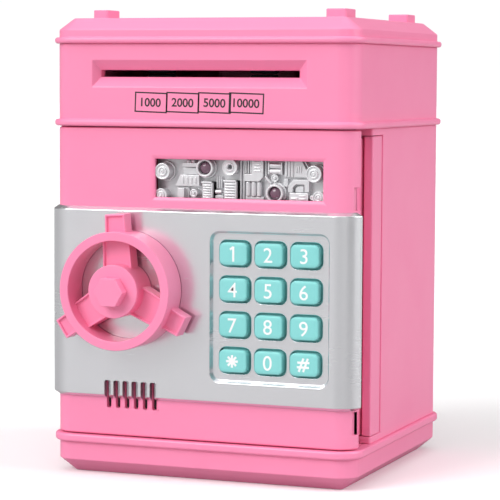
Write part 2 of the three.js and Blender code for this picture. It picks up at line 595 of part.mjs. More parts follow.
// ---- Door ------------------------------------------------------------------------------------
const keyPlaces = [];
const keyNames = ['1', '2', '3', '4', '5', '6', '7', '8', '9', 'star', '0', 'hash'];
for (let row = 0; row < keypad.rows; row += 1) {
  for (let column = 0; column < keypad.columns; column += 1) {
    keyPlaces.push({
      name: `key_${keyNames[row * keypad.columns + column]}`,
      x: keypadX + (column - (keypad.columns - 1) / 2) * key.pitchX,
      z: keypadZ + ((keypad.rows - 1) / 2 - row) * key.pitchZ,
    });
  }
}

const doorBosses = [boxLeft + door.wall + door.bossLeft, boxRight - door.wall - door.bossRight].flatMap((x) =>
  [boxBottom + door.wall + door.bossIn, boxTop - door.wall - door.bossIn].map((z) => ({ x, z })));

const slotPlaces = Array.from({ length: grille.count }, (_, index) =>
  left + grille.firstFromLeft + index * grille.pitch);

// Each slit has a steep left side and a sloping right side in the face that it opens.
const grilleCuts = (face, through) => slotPlaces.flatMap((x) => {
  const low = zShell + grille.bottom;
  const high = zShell + grille.top;
  const x0 = x - grille.width / 2;
  const x1 = x + grille.width / 2;
  const slope = polygon([[x0, face - past], [x1, face - past], [x1, face],
    [x0 + grille.slit, face + grille.ramp], [x0, face + grille.ramp]]);
  return [
    prismY(rectangle(x0, x0 + grille.slit, low, high, grille.slit / 2 - hair),
      face - past, through, undefined, 2),
    prismY(rectangle(x0, x1, low, high, grille.slit / 2), face - past, through, undefined, 2)
      .intersect(prismZ(slope, low - past, high + past)),
  ];
});

const windowCut = () => {
  const straight = prismY(
    centredRectangle(windowX, windowZ, windowHole.width - 2 * windowHole.bevel,
      windowHole.height - 2 * windowHole.bevel), front - past, front + door.skin + past);
  const flared = prismY(centredRectangle(windowX, windowZ, windowHole.width, windowHole.height),
    front - windowHole.bevelDepth, front + windowHole.bevelDepth,
    { in: windowHole.bevel, along: windowHole.bevelDepth - hair });
  return straight.add(flared);
};

const boltGap = () => {
  const top = wheelZ - pinionRadius + gearing.addendum + slip;
  const bottom = wheelZ - pinionRadius - bolt.height - slip;
  return { top, bottom };
};

const makeDoorShell = () => {
  const frontSlab = prismZ(outline(), doorBottom, doorTop, { in: door.edge, along: door.edge })
    .intersect(box(left - far, right + far, front - far, front + door.flange, 0, zRoof));
  const frontHollow = prismZ(outline(-door.skin), doorBottom + door.skin, doorTop - door.skin);
  const boxOuter = box(boxLeft, boxRight, front + door.skin - bite, panelFront, boxBottom, boxTop);
  const boxInner = box(boxLeft + door.wall, boxRight - door.wall, front + door.skin, back,
    boxBottom + door.wall, boxTop - door.wall);
  const skinned = cut(frontSlab, frontHollow);
  const walls = cut(boxOuter, boxInner);
  const columnBottom = zShell + shell.capHeight + slip;
  const columnTop = zUpper - shell.capHeight - slip;
  const columnLeft = right - hinge.columnWidth;
  const webBack = front + hinge.columnFront + hinge.webDepth;
  const web = [
    box(boxRight - door.wall, boxRight, panelFront - hinge.webThick, webBack, columnBottom, boxTop),
    box(boxRight - door.wall, right - hinge.edgeRadius, webBack - hinge.webThick, webBack,
      columnBottom, columnTop),
  ];
  const column = unite([
    prismZ(rectangle(columnLeft, right, front + hinge.columnFront, pin.y + hair, hinge.edge), columnBottom,
      columnTop),
    box(pin.x, right, pin.y - hinge.edgeRadius, pin.y, columnBottom, columnTop),
    rodZ(hinge.edgeRadius, columnBottom, columnTop, pin.x, pin.y, 24),
    box(columnLeft, pin.x, pin.y - hinge.edgeRadius, pin.y + hinge.edgeRadius, columnBottom, columnTop),
    rodZ(hinge.pinRadius, columnBottom - hinge.pinLength, columnTop + hinge.pinLength, pin.x, pin.y, 12),
    ...web,
  ]);
  const shaftBoss = rodY(shaft.radius + slip + shaft.bossWall, front + door.skin - bite,
    front + door.skin + shaft.bossLength, wheelX, wheelZ, 20);
  const bosses = doorBosses.map(({ x, z }) =>
    rodY(door.bossRadius, front + door.skin - bite, panelFront, x, z, 14));
  const bossHoles = doorBosses.map(({ x, z }) =>
    rodY(screw.shankRadius + fit, panelFront - screw.length, panelFront + past, x, z, 12));
  const gap = boltGap();
  const boltHole = box(boxLeft - past, boxLeft + door.wall + past, front + bolt.front - slip,
    front + bolt.front + bolt.thickness + slip, gap.bottom, gap.top);
  const shaftHole = rodY(shaft.radius + slip, front - past, panelFront, wheelX, wheelZ, 20);
  const keypadHole = box(keypadX - keypad.width / 2 - slip, keypadX + keypad.width / 2 + slip, front - past,
    front + door.skin + past, keypadZ - keypad.height / 2 - slip, keypadZ + keypad.height / 2 + slip);
  const notches = [fasciaTop + notch.fasciaGap, fasciaBottom - notch.fasciaGap - notch.length].map((z) =>
    box(right - notch.in, right + past, front + notch.back, front + door.flange + past, z, z + notch.length));
  const whole = unite([skinned, walls, column, shaftBoss, ...bosses]);
  return cut(whole, ...bossHoles, boltHole, shaftHole, keypadHole, windowCut(), ...notches,
    ...grilleCuts(front, front + door.skin + past));
};

const makeBackPanel = () => {
  const panelRight = boxRight - door.wall - door.panelInset;
  const plate = prismY(rectangle(boxLeft, panelRight, boxBottom, boxTop, door.panelInset),
    panelFront, panelFront + door.panel);
  const gap = boltGap();
  const railBack = panelFront + bite;
  const rails = [
    box(boxLeft + door.wall + slip, wheelX + bolt.railRight, front + bolt.front, railBack,
      gap.bottom - bolt.rail, gap.bottom),
    box(boxLeft + door.wall + slip, wheelX - bolt.railLeft, front + bolt.front, railBack,
      gap.top, gap.top + bolt.rail),
  ];
  const holes = doorBosses.map(({ x, z }) =>
    rodY(screw.shankRadius + slip, panelFront - past, panelFront + door.panel + past, x, z, 12));
  const bearing = rodY(shaft.radius + slip, panelFront - past, panelFront + shaft.seat, wheelX, wheelZ, 20);
  return cut(unite([plate, ...rails]), ...holes, bearing);
};

const makeFascia = () => {
  const chamfer = { in: fascia.out, along: fascia.edgeUp };
  const outer = prismZ(outline(fascia.out), fasciaBottom, fasciaTop, chamfer, 4)
    .intersect(box(left - far, right + far, front - far, front + fascia.wrap, 0, zRoof));
  const inner = prismZ(outline(slip / 3), fasciaBottom - past, fasciaTop + past);
  const tray = box(keypadX - keypad.width / 2, keypadX + keypad.width / 2, trayFront, trayBack,
    keypadZ - keypad.height / 2, keypadZ + keypad.height / 2);
  const recess = prismY(centredRectangle(keypadX, keypadZ, keypad.width, keypad.height, keypad.corner),
    fasciaFront - keypad.recess, trayFront, { in: keypad.draft, along: keypad.recess - hair });
  const pockets = keyPlaces.map(({ x, z }) => prismY(
    centredRectangle(x, z, key.width + 2 * key.gap, key.height + 2 * key.gap, key.corner + key.gap),
    fasciaFront - past, trayBack + past, undefined, 2));
  const shaftHole = rodY(shaft.radius + shaft.fasciaGap, fasciaFront - past, front + past, wheelX, wheelZ, 24);
  return cut(cut(outer, inner).add(tray), recess, ...pockets, shaftHole,
    ...grilleCuts(fasciaFront, front + past));
};

// Shares of the window's width and height at which the two lamps stand.
const lensSpots = [[0.287, 0.781], [0.704, 0.159]];

// Raised discs and blocks that stand on the plate behind the window.
const makeRelief = () => {
  const x0 = windowX - windowHole.width / 2 + windowHole.bevel;
  const z0 = windowZ - windowHole.height / 2 + windowHole.bevel;
  const wide = windowHole.width - 2 * windowHole.bevel;
  const high = windowHole.height - 2 * windowHole.bevel;
  const plateFront = front + relief.plateFront;
  const plate = box(x0 - relief.margin, x0 + wide + relief.margin, plateFront, plateFront + relief.plate,
    z0 - relief.margin, z0 + high + relief.margin);
  const disc = (u, v, radius, rise) =>
    rodY(radius, plateFront - rise, plateFront + bite, x0 + u * wide, z0 + v * high, 18);
  const block = (u, v, width, height, rise) => {
    const x = x0 + u * wide;
    const z = z0 + v * high;
    return prismY(centredRectangle(x, z, width, height), plateFront - rise, plateFront + bite);
  };
  const [lensOne, lensTwo] = lensSpots;
  const raised = [
    disc(0.08, 0.78, 3.1, 2.4), disc(0.08, 0.78, 1.9, 3.4), disc(0.08, 0.2, 2.9, 2.2),
    disc(0.08, 0.2, 1.7, 3.2), disc(...lensOne, 3.6, 2.6), disc(...lensTwo, 3.6, 2.6),
    disc(0.48, 0.78, 2.6, 2.8), disc(0.86, 0.62, 2.8, 3.2), disc(0.94, 0.24, 2.2, 2.4),
    disc(0.4, 0.26, 2.3, 2), block(0.17, 0.3, 5.2, 4.4, 2.6), block(0.36, 0.66, 6.4, 5.4, 3),
    block(0.53, 0.3, 5.4, 6, 2.4), block(0.6, 0.78, 7.2, 3.4, 2.8), block(0.76, 0.34, 4.4, 6.8, 3),
    block(0.75, 0.82, 5, 3, 2.2),
  ];
  const lensHoles = ledPlaces.map(({ x, z }) =>
    rodY(led.radius + slip, front, plateFront + relief.plate + past, x, z, 16));
  return cut(unite([plate, ...raised]), ...lensHoles);
};

const ledPlaces = lensSpots.map(([u, v]) => ({
  x: windowX - windowHole.width / 2 + windowHole.bevel + u * (windowHole.width - 2 * windowHole.bevel),
  z: windowZ - windowHole.height / 2 + windowHole.bevel + v * (windowHole.height - 2 * windowHole.bevel),
}));

const makeLed = () => {
  const tip = front + relief.plateFront - led.proud;
  return rodY(led.radius, tip, tip + led.length, 0, 0, 14);
};

const makeBoard = () => prismY(
  centredRectangle(keypadX, keypadZ, keypad.width - 2 * board.inset, keypad.height - 2 * board.inset),
  front + board.front, front + board.front + board.thickness);

const makeMembrane = () => prismY(
  centredRectangle(keypadX, keypadZ, keypad.width - 2 * membrane.inset, keypad.height - 2 * membrane.inset,
    membrane.corner),
  front + membrane.front, front + membrane.front + membrane.thickness);

const makeSpeaker = () => {
  const y0 = front + door.skin;
  const frame = rodY(speaker.radius, y0, y0 + speaker.rim, 0, 0, 28);
  const magnet = rodY(speaker.magnet, y0 + speaker.rim - bite, y0 + speaker.depth, 0, 0, 20);
  return frame.add(magnet);
};

const makeKey = () => {
  const capFront = fasciaFront - key.proud;
  const frontPart = prismY(centredRectangle(0, 0, key.width, key.height, key.corner),
    capFront, trayBack + slip + key.edge, { in: key.edge, along: key.edge }, 2)
    .intersect(box(-key.width, key.width, capFront - past, trayBack + slip, -key.height, key.height));
  const flange = prismY(centredRectangle(0, 0, key.width + 2 * key.lip, key.height + 2 * key.lip, key.corner),
    trayBack + slip, trayBack + slip + key.lipThick, undefined, 2);
  return frontPart.add(flange);
};

// ---- Handwheel, its cap bolt, shaft and pinion ---------------------------------------------------
const makeHandwheel = () => {
  const inner = wheel.ringRadius - wheel.ringWall;
  const ring = turnY([
    [inner, -wheel.ringBack], [inner, -wheel.ringFront], [wheel.ringRadius, -wheel.ringFront],
    [wheel.ringRadius, -wheel.ringBack],
  ], 44);
  const hub = rodY(wheel.hubRadius, -wheel.hubFront, -wheel.ringBack, 0, 0, 32);
  const arm = (widthIn, widthOut, from, to) => prismY(polygon([
    [-widthIn / 2, from], [widthIn / 2, from], [widthOut / 2, to], [-widthOut / 2, to],
  ]), -wheel.barFront, -wheel.barBack);
  const hollow = (widthIn, widthOut, from, to) => prismY(polygon([
    [-widthIn / 2 + wheel.rim, from], [widthIn / 2 - wheel.rim, from],
    [widthOut / 2 - wheel.rim, to], [-widthOut / 2 + wheel.rim, to],
  ]), -wheel.barFront - past, -wheel.barFront + wheel.rimDepth);
  const spokeEnd = inner + wheel.ringWall / 2;
  const arms = unite([
    cut(arm(wheel.spokeWidth, wheel.spokeWidth - wheel.taper, wheel.hubRadius - past, spokeEnd),
      hollow(wheel.spokeWidth, wheel.spokeWidth - wheel.taper, wheel.hubRadius - wheel.sink,
        inner + wheel.sink)),
    cut(arm(wheel.lugWidth, wheel.lugWidth - wheel.lugTaper, spokeEnd, wheel.lugReach),
      hollow(wheel.lugWidth, wheel.lugWidth - wheel.lugTaper, wheel.ringRadius + wheel.sink,
        wheel.lugReach - wheel.rim)),
  ]);
  const turned = Array.from({ length: wheel.spokes }, (_, index) =>
    arms.rotate([0, -(wheel.restAngle + (index * 360) / wheel.spokes), 0]));
  const bore = rodY(shaft.radius + press, -wheel.hubFront - past, 0, 0, 0, 20);
  return cut(unite([ring, hub, ...turned]), bore);
};

const makeWheelCap = () => {
  const cornerRadius = cap.acrossFlats / 2 / Math.cos(30 * degrees);
  const hexagon = polygon(Array.from({ length: 6 }, (_, index) => [
    cornerRadius * Math.cos(index * 60 * degrees),
    cornerRadius * Math.sin(index * 60 * degrees),
  ]));
  return prismY(hexagon, -wheel.hubFront - cap.height, -wheel.hubFront, { in: cap.edge, along: cap.edge });
};

const shaftEnd = door.thickness - door.panel + shaft.seat - slip;
const makeWheelShaft = () => rodY(shaft.radius, -wheel.hubFront, shaftEnd, 0, 0, 20);

const pinionY0 = front + bolt.front;
const makeLatchPinion = () => cut(
  prismY(gearShape(gearing.pinionTeeth, -Math.PI / 2), 0, bolt.thickness),
  rodY(shaft.radius + press, -past, bolt.thickness + past, 0, 0, 20),
);

// ---- Latch bolt with its rack ---------------------------------------------------------------------
const makeLatchBolt = () => {
  const pitchLine = wheelZ - pinionRadius;
  const toothPitch = Math.PI * gearing.module;
  const lean = Math.tan(gearing.pressure * degrees);
  const halfThick = toothPitch / 4 - gearing.backlash / 2;
  const rackTop = pitchLine + gearing.addendum;
  const rackRoot = pitchLine - gearing.dedendum;
  const teeth = Array.from({ length: bolt.rackTeeth }, (_, index) => {
    const x = wheelX + (index - bolt.rackRoot + 0.5) * toothPitch;
    const low = halfThick + gearing.dedendum * lean;
    const high = halfThick - gearing.addendum * lean;
    return prismY(polygon([[x - low, rackRoot - bite], [x + low, rackRoot - bite], [x + high, rackTop],
      [x - high, rackTop]]), front + bolt.front, front + bolt.front + bolt.thickness);
  });
  const tip = boxLeft + bolt.inset;
  const end = wheelX + (bolt.rackTeeth - bolt.rackRoot) * toothPitch;
  const bar = box(tip, end, front + bolt.front, front + bolt.front + bolt.thickness,
    pitchLine - bolt.height, rackRoot);
  return unite([bar, ...teeth]);
};

const doorScrews = doorBosses.map(({ x, z }, index) => {
  const mesh = piece(`door_screw_${index + 1}`, screwSolid(screw.length), looks.steel,
    [x, panelFront + door.panel + screw.headHeight, z]);
  mesh.rotation.x = Math.PI / 2;
  return mesh;
});

const wheelGroup = group(
  piece('handwheel', makeHandwheel(), looks.pink),
  piece('wheel_cap', makeWheelCap(), looks.pink),
  piece('wheel_shaft', makeWheelShaft(), looks.steel),
);
wheelGroup.position.set(wheelX, front, wheelZ);

const doorGroup = group(
  piece('door_shell', makeDoorShell(), looks.pink),
  piece('door_back_panel', makeBackPanel(), looks.pinkInner),
  piece('silver_fascia', makeFascia(), looks.silver),
  piece('machinery_relief', makeRelief(), looks.silver),
  ledPlaces.map(({ x, z }, index) => piece(`status_led_${index + 1}`, makeLed(), looks.lens, [x, 0, z])),
  piece('keypad_board', makeBoard(), looks.board),
  piece('key_membrane', makeMembrane(), looks.white),
  piece('speaker', makeSpeaker(), looks.black,
    [slotPlaces[0] + (grille.count - 1) * grille.pitch / 2, 0, boxBottom + door.wall + speaker.radius + 1]),
  keyPlaces.map(({ name, x, z }) => piece(name, makeKey(), looks.teal, [x, 0, z])),
  doorScrews,
  wheelGroup,
  piece('latch_pinion', makeLatchPinion(), looks.white, [wheelX, pinionY0, wheelZ]),
  piece('latch_bolt', makeLatchBolt(), looks.white),
);

const bank = group(cabinet, feed, doorGroup);
bank.name = 'safe_coin_bank';

export default bank;
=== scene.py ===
import json
import math
import bmesh
import bpy
from mathutils import Matrix, Vector


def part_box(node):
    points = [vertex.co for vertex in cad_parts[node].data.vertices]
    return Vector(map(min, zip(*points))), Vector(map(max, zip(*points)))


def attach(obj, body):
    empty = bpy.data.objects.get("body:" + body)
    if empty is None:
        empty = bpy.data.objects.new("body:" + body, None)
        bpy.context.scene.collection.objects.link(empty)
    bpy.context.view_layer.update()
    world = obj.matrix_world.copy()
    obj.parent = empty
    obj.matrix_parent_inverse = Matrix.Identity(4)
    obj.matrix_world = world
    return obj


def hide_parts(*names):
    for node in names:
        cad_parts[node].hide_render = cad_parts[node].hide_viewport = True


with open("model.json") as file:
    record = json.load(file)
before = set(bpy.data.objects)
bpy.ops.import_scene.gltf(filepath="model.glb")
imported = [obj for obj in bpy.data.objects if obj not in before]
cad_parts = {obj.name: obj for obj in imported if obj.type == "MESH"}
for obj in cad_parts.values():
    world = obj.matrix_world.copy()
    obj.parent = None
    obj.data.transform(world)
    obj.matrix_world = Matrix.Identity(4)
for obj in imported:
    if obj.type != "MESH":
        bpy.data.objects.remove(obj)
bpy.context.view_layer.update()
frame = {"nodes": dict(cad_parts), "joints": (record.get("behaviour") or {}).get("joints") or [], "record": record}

mm = 0.001
fullTurn = 2 * math.pi
weldGap = 0.001 * mm  # points closer than this are one point
flatTurn = 0.4  # degrees; faces that turn less than this are one flat face
scene = bpy.context.scene
print("frame loaded:", len(frame["nodes"]), "solids")


# shape helpers: they take millimetres and work in metres in the frame of the solids
def cadCopy(node, keepLevel=False):
    # a merged copy of a solid, its flat faces joined up, except level ones where they ring a hollow
    shape = bmesh.new()
    shape.from_mesh(frame["nodes"][node].data)
    bmesh.ops.remove_doubles(shape, verts=shape.verts, dist=2 * weldGap)
    shape.normal_update()
    joined = [
        edge for edge in shape.edges
        if not keepLevel or any(abs(face.normal.z) < 0.99 for face in edge.link_faces)
    ]
    bmesh.ops.dissolve_limit(shape, angle_limit=math.radians(flatTurn), verts=shape.verts, edges=joined)
    return shape


def roundEdges(shape, radius, segments=2, sharp=28, chosen=None):
    # rounds the edges that turn more than sharp degrees
    turns = math.radians(sharp)
    edges = [
        edge for edge in shape.edges
        if len(edge.link_faces) == 2 and edge.calc_face_angle(0) > turns and (chosen is None or chosen(edge))
    ]
    bmesh.ops.bevel(
        shape, geom=edges, offset=radius * mm, offset_type="OFFSET", affect="EDGES",
        segments=segments, profile=0.5, material=-1, clamp_overlap=False, loop_slide=True,
    )


def addBlock(shape, low, high, edge=0.0):
    # a block between two corners, with rounded edges
    low, high = Vector(low) * mm, Vector(high) * mm
    verts = bmesh.ops.create_cube(shape, size=1)["verts"]
    bmesh.ops.scale(shape, vec=high - low, verts=verts)
    bmesh.ops.translate(shape, vec=(low + high) / 2, verts=verts)
    if edge:
        edges = list({e for v in verts for e in v.link_edges})
        bmesh.ops.bevel(
            shape, geom=edges, offset=edge * mm, offset_type="OFFSET", affect="EDGES",
            segments=2, profile=0.5, material=-1, clamp_overlap=True,
        )
    return verts


def addTurned(shape, profile, centre, steps):
    # a solid turned about an axis that points into the door; the profile is (radius, depth behind centre)
    centre = Vector(centre) * mm
    verts = [shape.verts.new(centre + Vector((radius, depth, 0)) * mm) for radius, depth in profile]
    closed = profile[0][0] > 0 and profile[-1][0] > 0
    pairs = list(zip(verts, verts[1:])) + ([(verts[-1], verts[0])] if closed else [])
    edges = [shape.edges.new(pair) for pair in pairs]
    bmesh.ops.spin(
        shape, geom=verts + edges, cent=centre, axis=(0, 1, 0), angle=fullTurn, steps=steps,
        use_merge=True, use_duplicate=False, dvec=(0, 0, 0),
    )
    faces = list({f for v in verts for f in v.link_faces})
    seen = set(faces)
    while faces:
        for edge in faces.pop().edges:
            for face in edge.link_faces:
                if face not in seen:
                    seen.add(face)
                    faces.append(face)
    turned = list({v for f in seen for v in f.verts})
    bmesh.ops.remove_doubles(shape, verts=turned, dist=weldGap)


def joinShape(shape, made):
    # adds a finished part to a larger shape
    holder = bpy.data.meshes.new("holder")
    made.to_mesh(holder)
    made.free()
    shape.from_mesh(holder)
    bpy.data.meshes.remove(holder)


def addPiece(shape, name, body, look, replaced=(), sharp=40):
    # makes the finished object, in place, riding on its body
    mesh = bpy.data.meshes.new(name)
    shape.to_mesh(mesh)
    shape.free()
    mesh.shade_smooth()
    mesh.set_sharp_from_angle(angle=math.radians(sharp))
    mesh.materials.append(look)
    made = bpy.data.objects.new(name, mesh)
    scene.collection.objects.link(made)
    even = made.modifiers.new("evenNormals", "WEIGHTED_NORMAL")
    even.keep_sharp = True
    even.weight = 60
    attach(made, body)
    if replaced:
        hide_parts(*replaced)


# shader helpers
def newGroup(name, inputs, outputs):
    tree = bpy.data.node_groups.new(name, "ShaderNodeTree")
    for label, kind, value in inputs:
        made = tree.interface.new_socket(label, in_out="INPUT", socket_type=kind)
        if value is not None:
            made.default_value = value
    for label, kind in outputs:
        tree.interface.new_socket(label, in_out="OUTPUT", socket_type=kind)
    return tree, tree.nodes.new("NodeGroupInput"), tree.nodes.new("NodeGroupOutput")


def addMath(tree, operation, first, second=None, third=None, clamp=False):
    node = tree.nodes.new("ShaderNodeMath")
    node.operation = operation
    node.use_clamp = clamp
    for index, value in enumerate((first, second, third)):
        if value is None:
            continue
        if isinstance(value, (int, float)):
            node.inputs[index].default_value = value
        else:
            tree.links.new(value, node.inputs[index])
    return node.outputs[0]


def addNoise(tree, vector, scale, detail, roughness, stretch=None):
    node = tree.nodes.new("ShaderNodeTexNoise")
    node.inputs["Detail"].default_value = detail
    node.inputs["Roughness"].default_value = roughness
    if isinstance(scale, (int, float)):
        node.inputs["Scale"].default_value = scale
    else:
        tree.links.new(scale, node.inputs["Scale"])
    if stretch:
        mapping = tree.nodes.new("ShaderNodeMapping")
        mapping.inputs["Scale"].default_value = stretch
        tree.links.new(vector, mapping.inputs["Vector"])
        vector = mapping.outputs["Vector"]
    tree.links.new(vector, node.inputs["Vector"])
    return node.outputs["Fac"]


def addRamp(tree, value, low, high):
    # spreads low..high over 0..1
    node = tree.nodes.new("ShaderNodeMapRange")
    node.inputs["From Min"].default_value = low
    node.inputs["From Max"].default_value = high
    tree.links.new(value, node.inputs["Value"])
    return node.outputs["Result"]


grainPattern = {
    "grain": {"detail": 3.0, "roughness": 0.6},
    "blotch": {"detail": 3.0, "roughness": 0.55}, "blotchRange": (0.3, 0.7),
    "streak": {"scale": 60.0, "detail": 4.0, "roughness": 0.7, "stretch": (1.0, 1.0, 26.0)},
    "streakRange": (0.56, 0.74),
    "across": {"scale": 45.0, "detail": 2.0, "roughness": 0.5}, "acrossRange": (0.5, 0.68),
}
finishDefaults = {
    "grainScale": 1800.0, "blotchScale": 28.0, "blotch": 0.5, "deepShare": 0.93,
    "roughSpread": 0.06, "scuff": 0.08, "bump": 0.25, "bumpHeight": 0.02,
    "metallic": 0.0, "coat": 0.0, "coatRoughness": 0.2,
}
# the silver finishes have their edges lightened as a painted highlight; these are the bevel radius, samples and
# gain of its mask
edgeHighlight = {"radius": 0.5, "samples": 4, "gain": 6.0}


def makeGrainGroup():
    # fine moulded grain, slow blotches and faint handling scuffs
    values = grainPattern
    tree, start, end = newGroup(
        "mouldedGrain",
        [("Vector", "NodeSocketVector", None),
         ("Grain Scale", "NodeSocketFloat", finishDefaults["grainScale"]),
         ("Blotch Scale", "NodeSocketFloat", finishDefaults["blotchScale"])],
        [("Grain", "NodeSocketFloat"), ("Blotch", "NodeSocketFloat"), ("Scuff", "NodeSocketFloat")],
    )
    vector = start.outputs["Vector"]
    grain = addNoise(tree, vector, start.outputs["Grain Scale"], **values["grain"])
    blotch = addNoise(tree, vector, start.outputs["Blotch Scale"], **values["blotch"])
    streak = addRamp(tree, addNoise(tree, vector, **values["streak"]), *values["streakRange"])
    across = addRamp(tree, addNoise(tree, vector, **values["across"]), *values["acrossRange"])
    tree.links.new(grain, end.inputs["Grain"])
    tree.links.new(addRamp(tree, blotch, *values["blotchRange"]), end.inputs["Blotch"])
    tree.links.new(addMath(tree, "MULTIPLY", streak, across), end.inputs["Scuff"])
    return tree


def makeEdgeHighlightGroup():
    # a painted highlight mask of the convex and concave edges, from a rounded normal against the real one
    tree, start, end = newGroup(
        "edgeMask",
        [("Gain", "NodeSocketFloat", edgeHighlight["gain"])],
        [("Highlight", "NodeSocketFloat")],
    )
    rounded = tree.nodes.new("ShaderNodeBevel")
    rounded.samples = edgeHighlight["samples"]
    rounded.inputs["Radius"].default_value = edgeHighlight["radius"] * mm
    geometry = tree.nodes.new("ShaderNodeNewGeometry")
    dot = tree.nodes.new("ShaderNodeVectorMath")
    dot.operation = "DOT_PRODUCT"
    tree.links.new(rounded.outputs["Normal"], dot.inputs[0])
    tree.links.new(geometry.outputs["Normal"], dot.inputs[1])
    away = addMath(tree, "SUBTRACT", 1.0, dot.outputs["Value"], clamp=True)
    tree.links.new(addMath(tree, "MULTIPLY", away, start.outputs["Gain"], clamp=True), end.inputs["Highlight"])
    return tree


grainGroup = makeGrainGroup()
edgeHighlightGroup = makeEdgeHighlightGroup()


def makeFinish(name, values):
    # one moulded, painted or metal finish from its values
    finish = {**finishDefaults, **values}
    look = bpy.data.materials.new(name)
    look.use_nodes = True
    tree = look.node_tree
    shader = tree.nodes["Principled BSDF"]
    place = tree.nodes.new("ShaderNodeTexCoord").outputs["Object"]
    grain = tree.nodes.new("ShaderNodeGroup")
    grain.node_tree = grainGroup
    grain.inputs["Grain Scale"].default_value = finish["grainScale"]
    grain.inputs["Blotch Scale"].default_value = finish["blotchScale"]
    tree.links.new(place, grain.inputs["Vector"])

    tone = tree.nodes.new("ShaderNodeMix")
    tone.data_type = "RGBA"
    deep = finish.get("deep", [part * finish["deepShare"] for part in finish["colour"]])
    tone.inputs["A"].default_value = (*finish["colour"], 1)
    tone.inputs["B"].default_value = (*deep, 1)
    share = addMath(tree, "MULTIPLY", grain.outputs["Blotch"], finish["blotch"])
    tree.links.new(share, tone.inputs["Factor"])
    colour = tone.outputs["Result"]
    # a finish with an edge share has its convex and concave edges lightened towards a paler colour, as a painted
    # highlight
    if "edge" in finish:
        edge = tree.nodes.new("ShaderNodeGroup")
        edge.node_tree = edgeHighlightGroup
        lift = tree.nodes.new("ShaderNodeMix")
        lift.data_type = "RGBA"
        lift.inputs["B"].default_value = (*finish["edgeHighlightColour"], 1)
        highlightShare = addMath(tree, "MULTIPLY", edge.outputs["Highlight"], finish["edge"])
        tree.links.new(highlightShare, lift.inputs["Factor"])
        tree.links.new(colour, lift.inputs["A"])
        colour = lift.outputs["Result"]
    tree.links.new(colour, shader.inputs["Base Color"])

    spread = finish["roughSpread"]
    smoothest = finish["roughness"] - spread / 2
    rough = addMath(tree, "MULTIPLY_ADD", grain.outputs["Blotch"], spread, smoothest)
    rough = addMath(tree, "MULTIPLY_ADD", grain.outputs["Scuff"], finish["scuff"], rough, clamp=True)
    tree.links.new(rough, shader.inputs["Roughness"])
    bump = tree.nodes.new("ShaderNodeBump")
    bump.inputs["Strength"].default_value = finish["bump"]
    bump.inputs["Distance"].default_value = finish["bumpHeight"] * mm
    tree.links.new(grain.outputs["Grain"], bump.inputs["Height"])
    tree.links.new(bump.outputs["Normal"], shader.inputs["Normal"])
    shader.inputs["Metallic"].default_value = finish["metallic"]
    shader.inputs["Coat Weight"].default_value = finish["coat"]
    shader.inputs["Coat Roughness"].default_value = finish["coatRoughness"]
    return look


finishes = {
    "pinkShell": {"colour": (0.97, 0.275, 0.47), "deep": (0.945, 0.255, 0.445), "roughness": 0.36,
                  "grainScale": 2200.0, "bump": 0.18},
    "pinkInner": {"colour": (0.88, 0.22, 0.39), "deep": (0.84, 0.2, 0.365), "roughness": 0.5,
                  "grainScale": 1400.0, "bump": 0.3},
    # both silver finishes carry a painted highlight on their edges
    "silverPaint": {"colour": (0.76, 0.76, 0.785), "deep": (0.73, 0.73, 0.76), "roughness": 0.24,
                    "metallic": 0.88, "grainScale": 5200.0, "bump": 0.3,
                    "edge": 0.25, "edgeHighlightColour": (0.85, 0.85, 0.87)},
    "silverCasting": {"colour": (0.76, 0.76, 0.78), "deep": (0.66, 0.66, 0.69), "roughness": 0.32,
                      "metallic": 0.42, "grainScale": 4200.0, "bump": 0.4,
                      "edge": 0.7, "edgeHighlightColour": (0.97, 0.97, 0.98)},
    "tealKeys": {"colour": (0.25, 0.68, 0.665), "deep": (0.22, 0.645, 0.63), "roughness": 0.42,
                 "grainScale": 2600.0, "bump": 0.25},
    "whitePrint": {"colour": (0.93, 0.94, 0.94), "roughness": 0.45, "grainScale": 4000.0, "bump": 0.3},
    "blackPrint": {"colour": (0.016, 0.016, 0.018), "roughness": 0.5, "grainScale": 4000.0, "bump": 0.3},
    "blackPlastic": {"colour": (0.022, 0.022, 0.024), "roughness": 0.6, "bump": 0.4},
    "rollerRubber": {"colour": (0.035, 0.034, 0.036), "deep": (0.06, 0.058, 0.058), "roughness": 0.8,
                     "grainScale": 2600.0, "bump": 0.7, "bumpHeight": 0.05},
    "steel": {"colour": (0.62, 0.63, 0.65), "roughness": 0.28, "metallic": 1.0, "grainScale": 3000.0,
              "bump": 0.3, "scuff": 0.2},
    "whiteAcetal": {"colour": (0.86, 0.86, 0.83), "roughness": 0.45, "bump": 0.3},
    "circuitBoard": {"colour": (0.03, 0.2, 0.085), "deep": (0.02, 0.14, 0.06), "roughness": 0.4,
                     "blotchScale": 240.0, "blotch": 1.0},
    "cellSleeve": {"colour": (0.05, 0.14, 0.4), "deep": (0.04, 0.11, 0.32), "roughness": 0.3,
                   "metallic": 0.4},
    "violetLens": {"colour": (0.17, 0.085, 0.13), "roughness": 0.14, "bump": 0.1, "coat": 0.6,
                   "coatRoughness": 0.06},
}
looks = {name: makeFinish(name, finish) for name, finish in finishes.items()}
print("materials made:", len(looks))

# solids whose shape is already right take a material; the larger mouldings get soft edges too
body = {node: name for name, nodes in frame["record"]["behaviour"]["bodies"].items() for node in nodes}

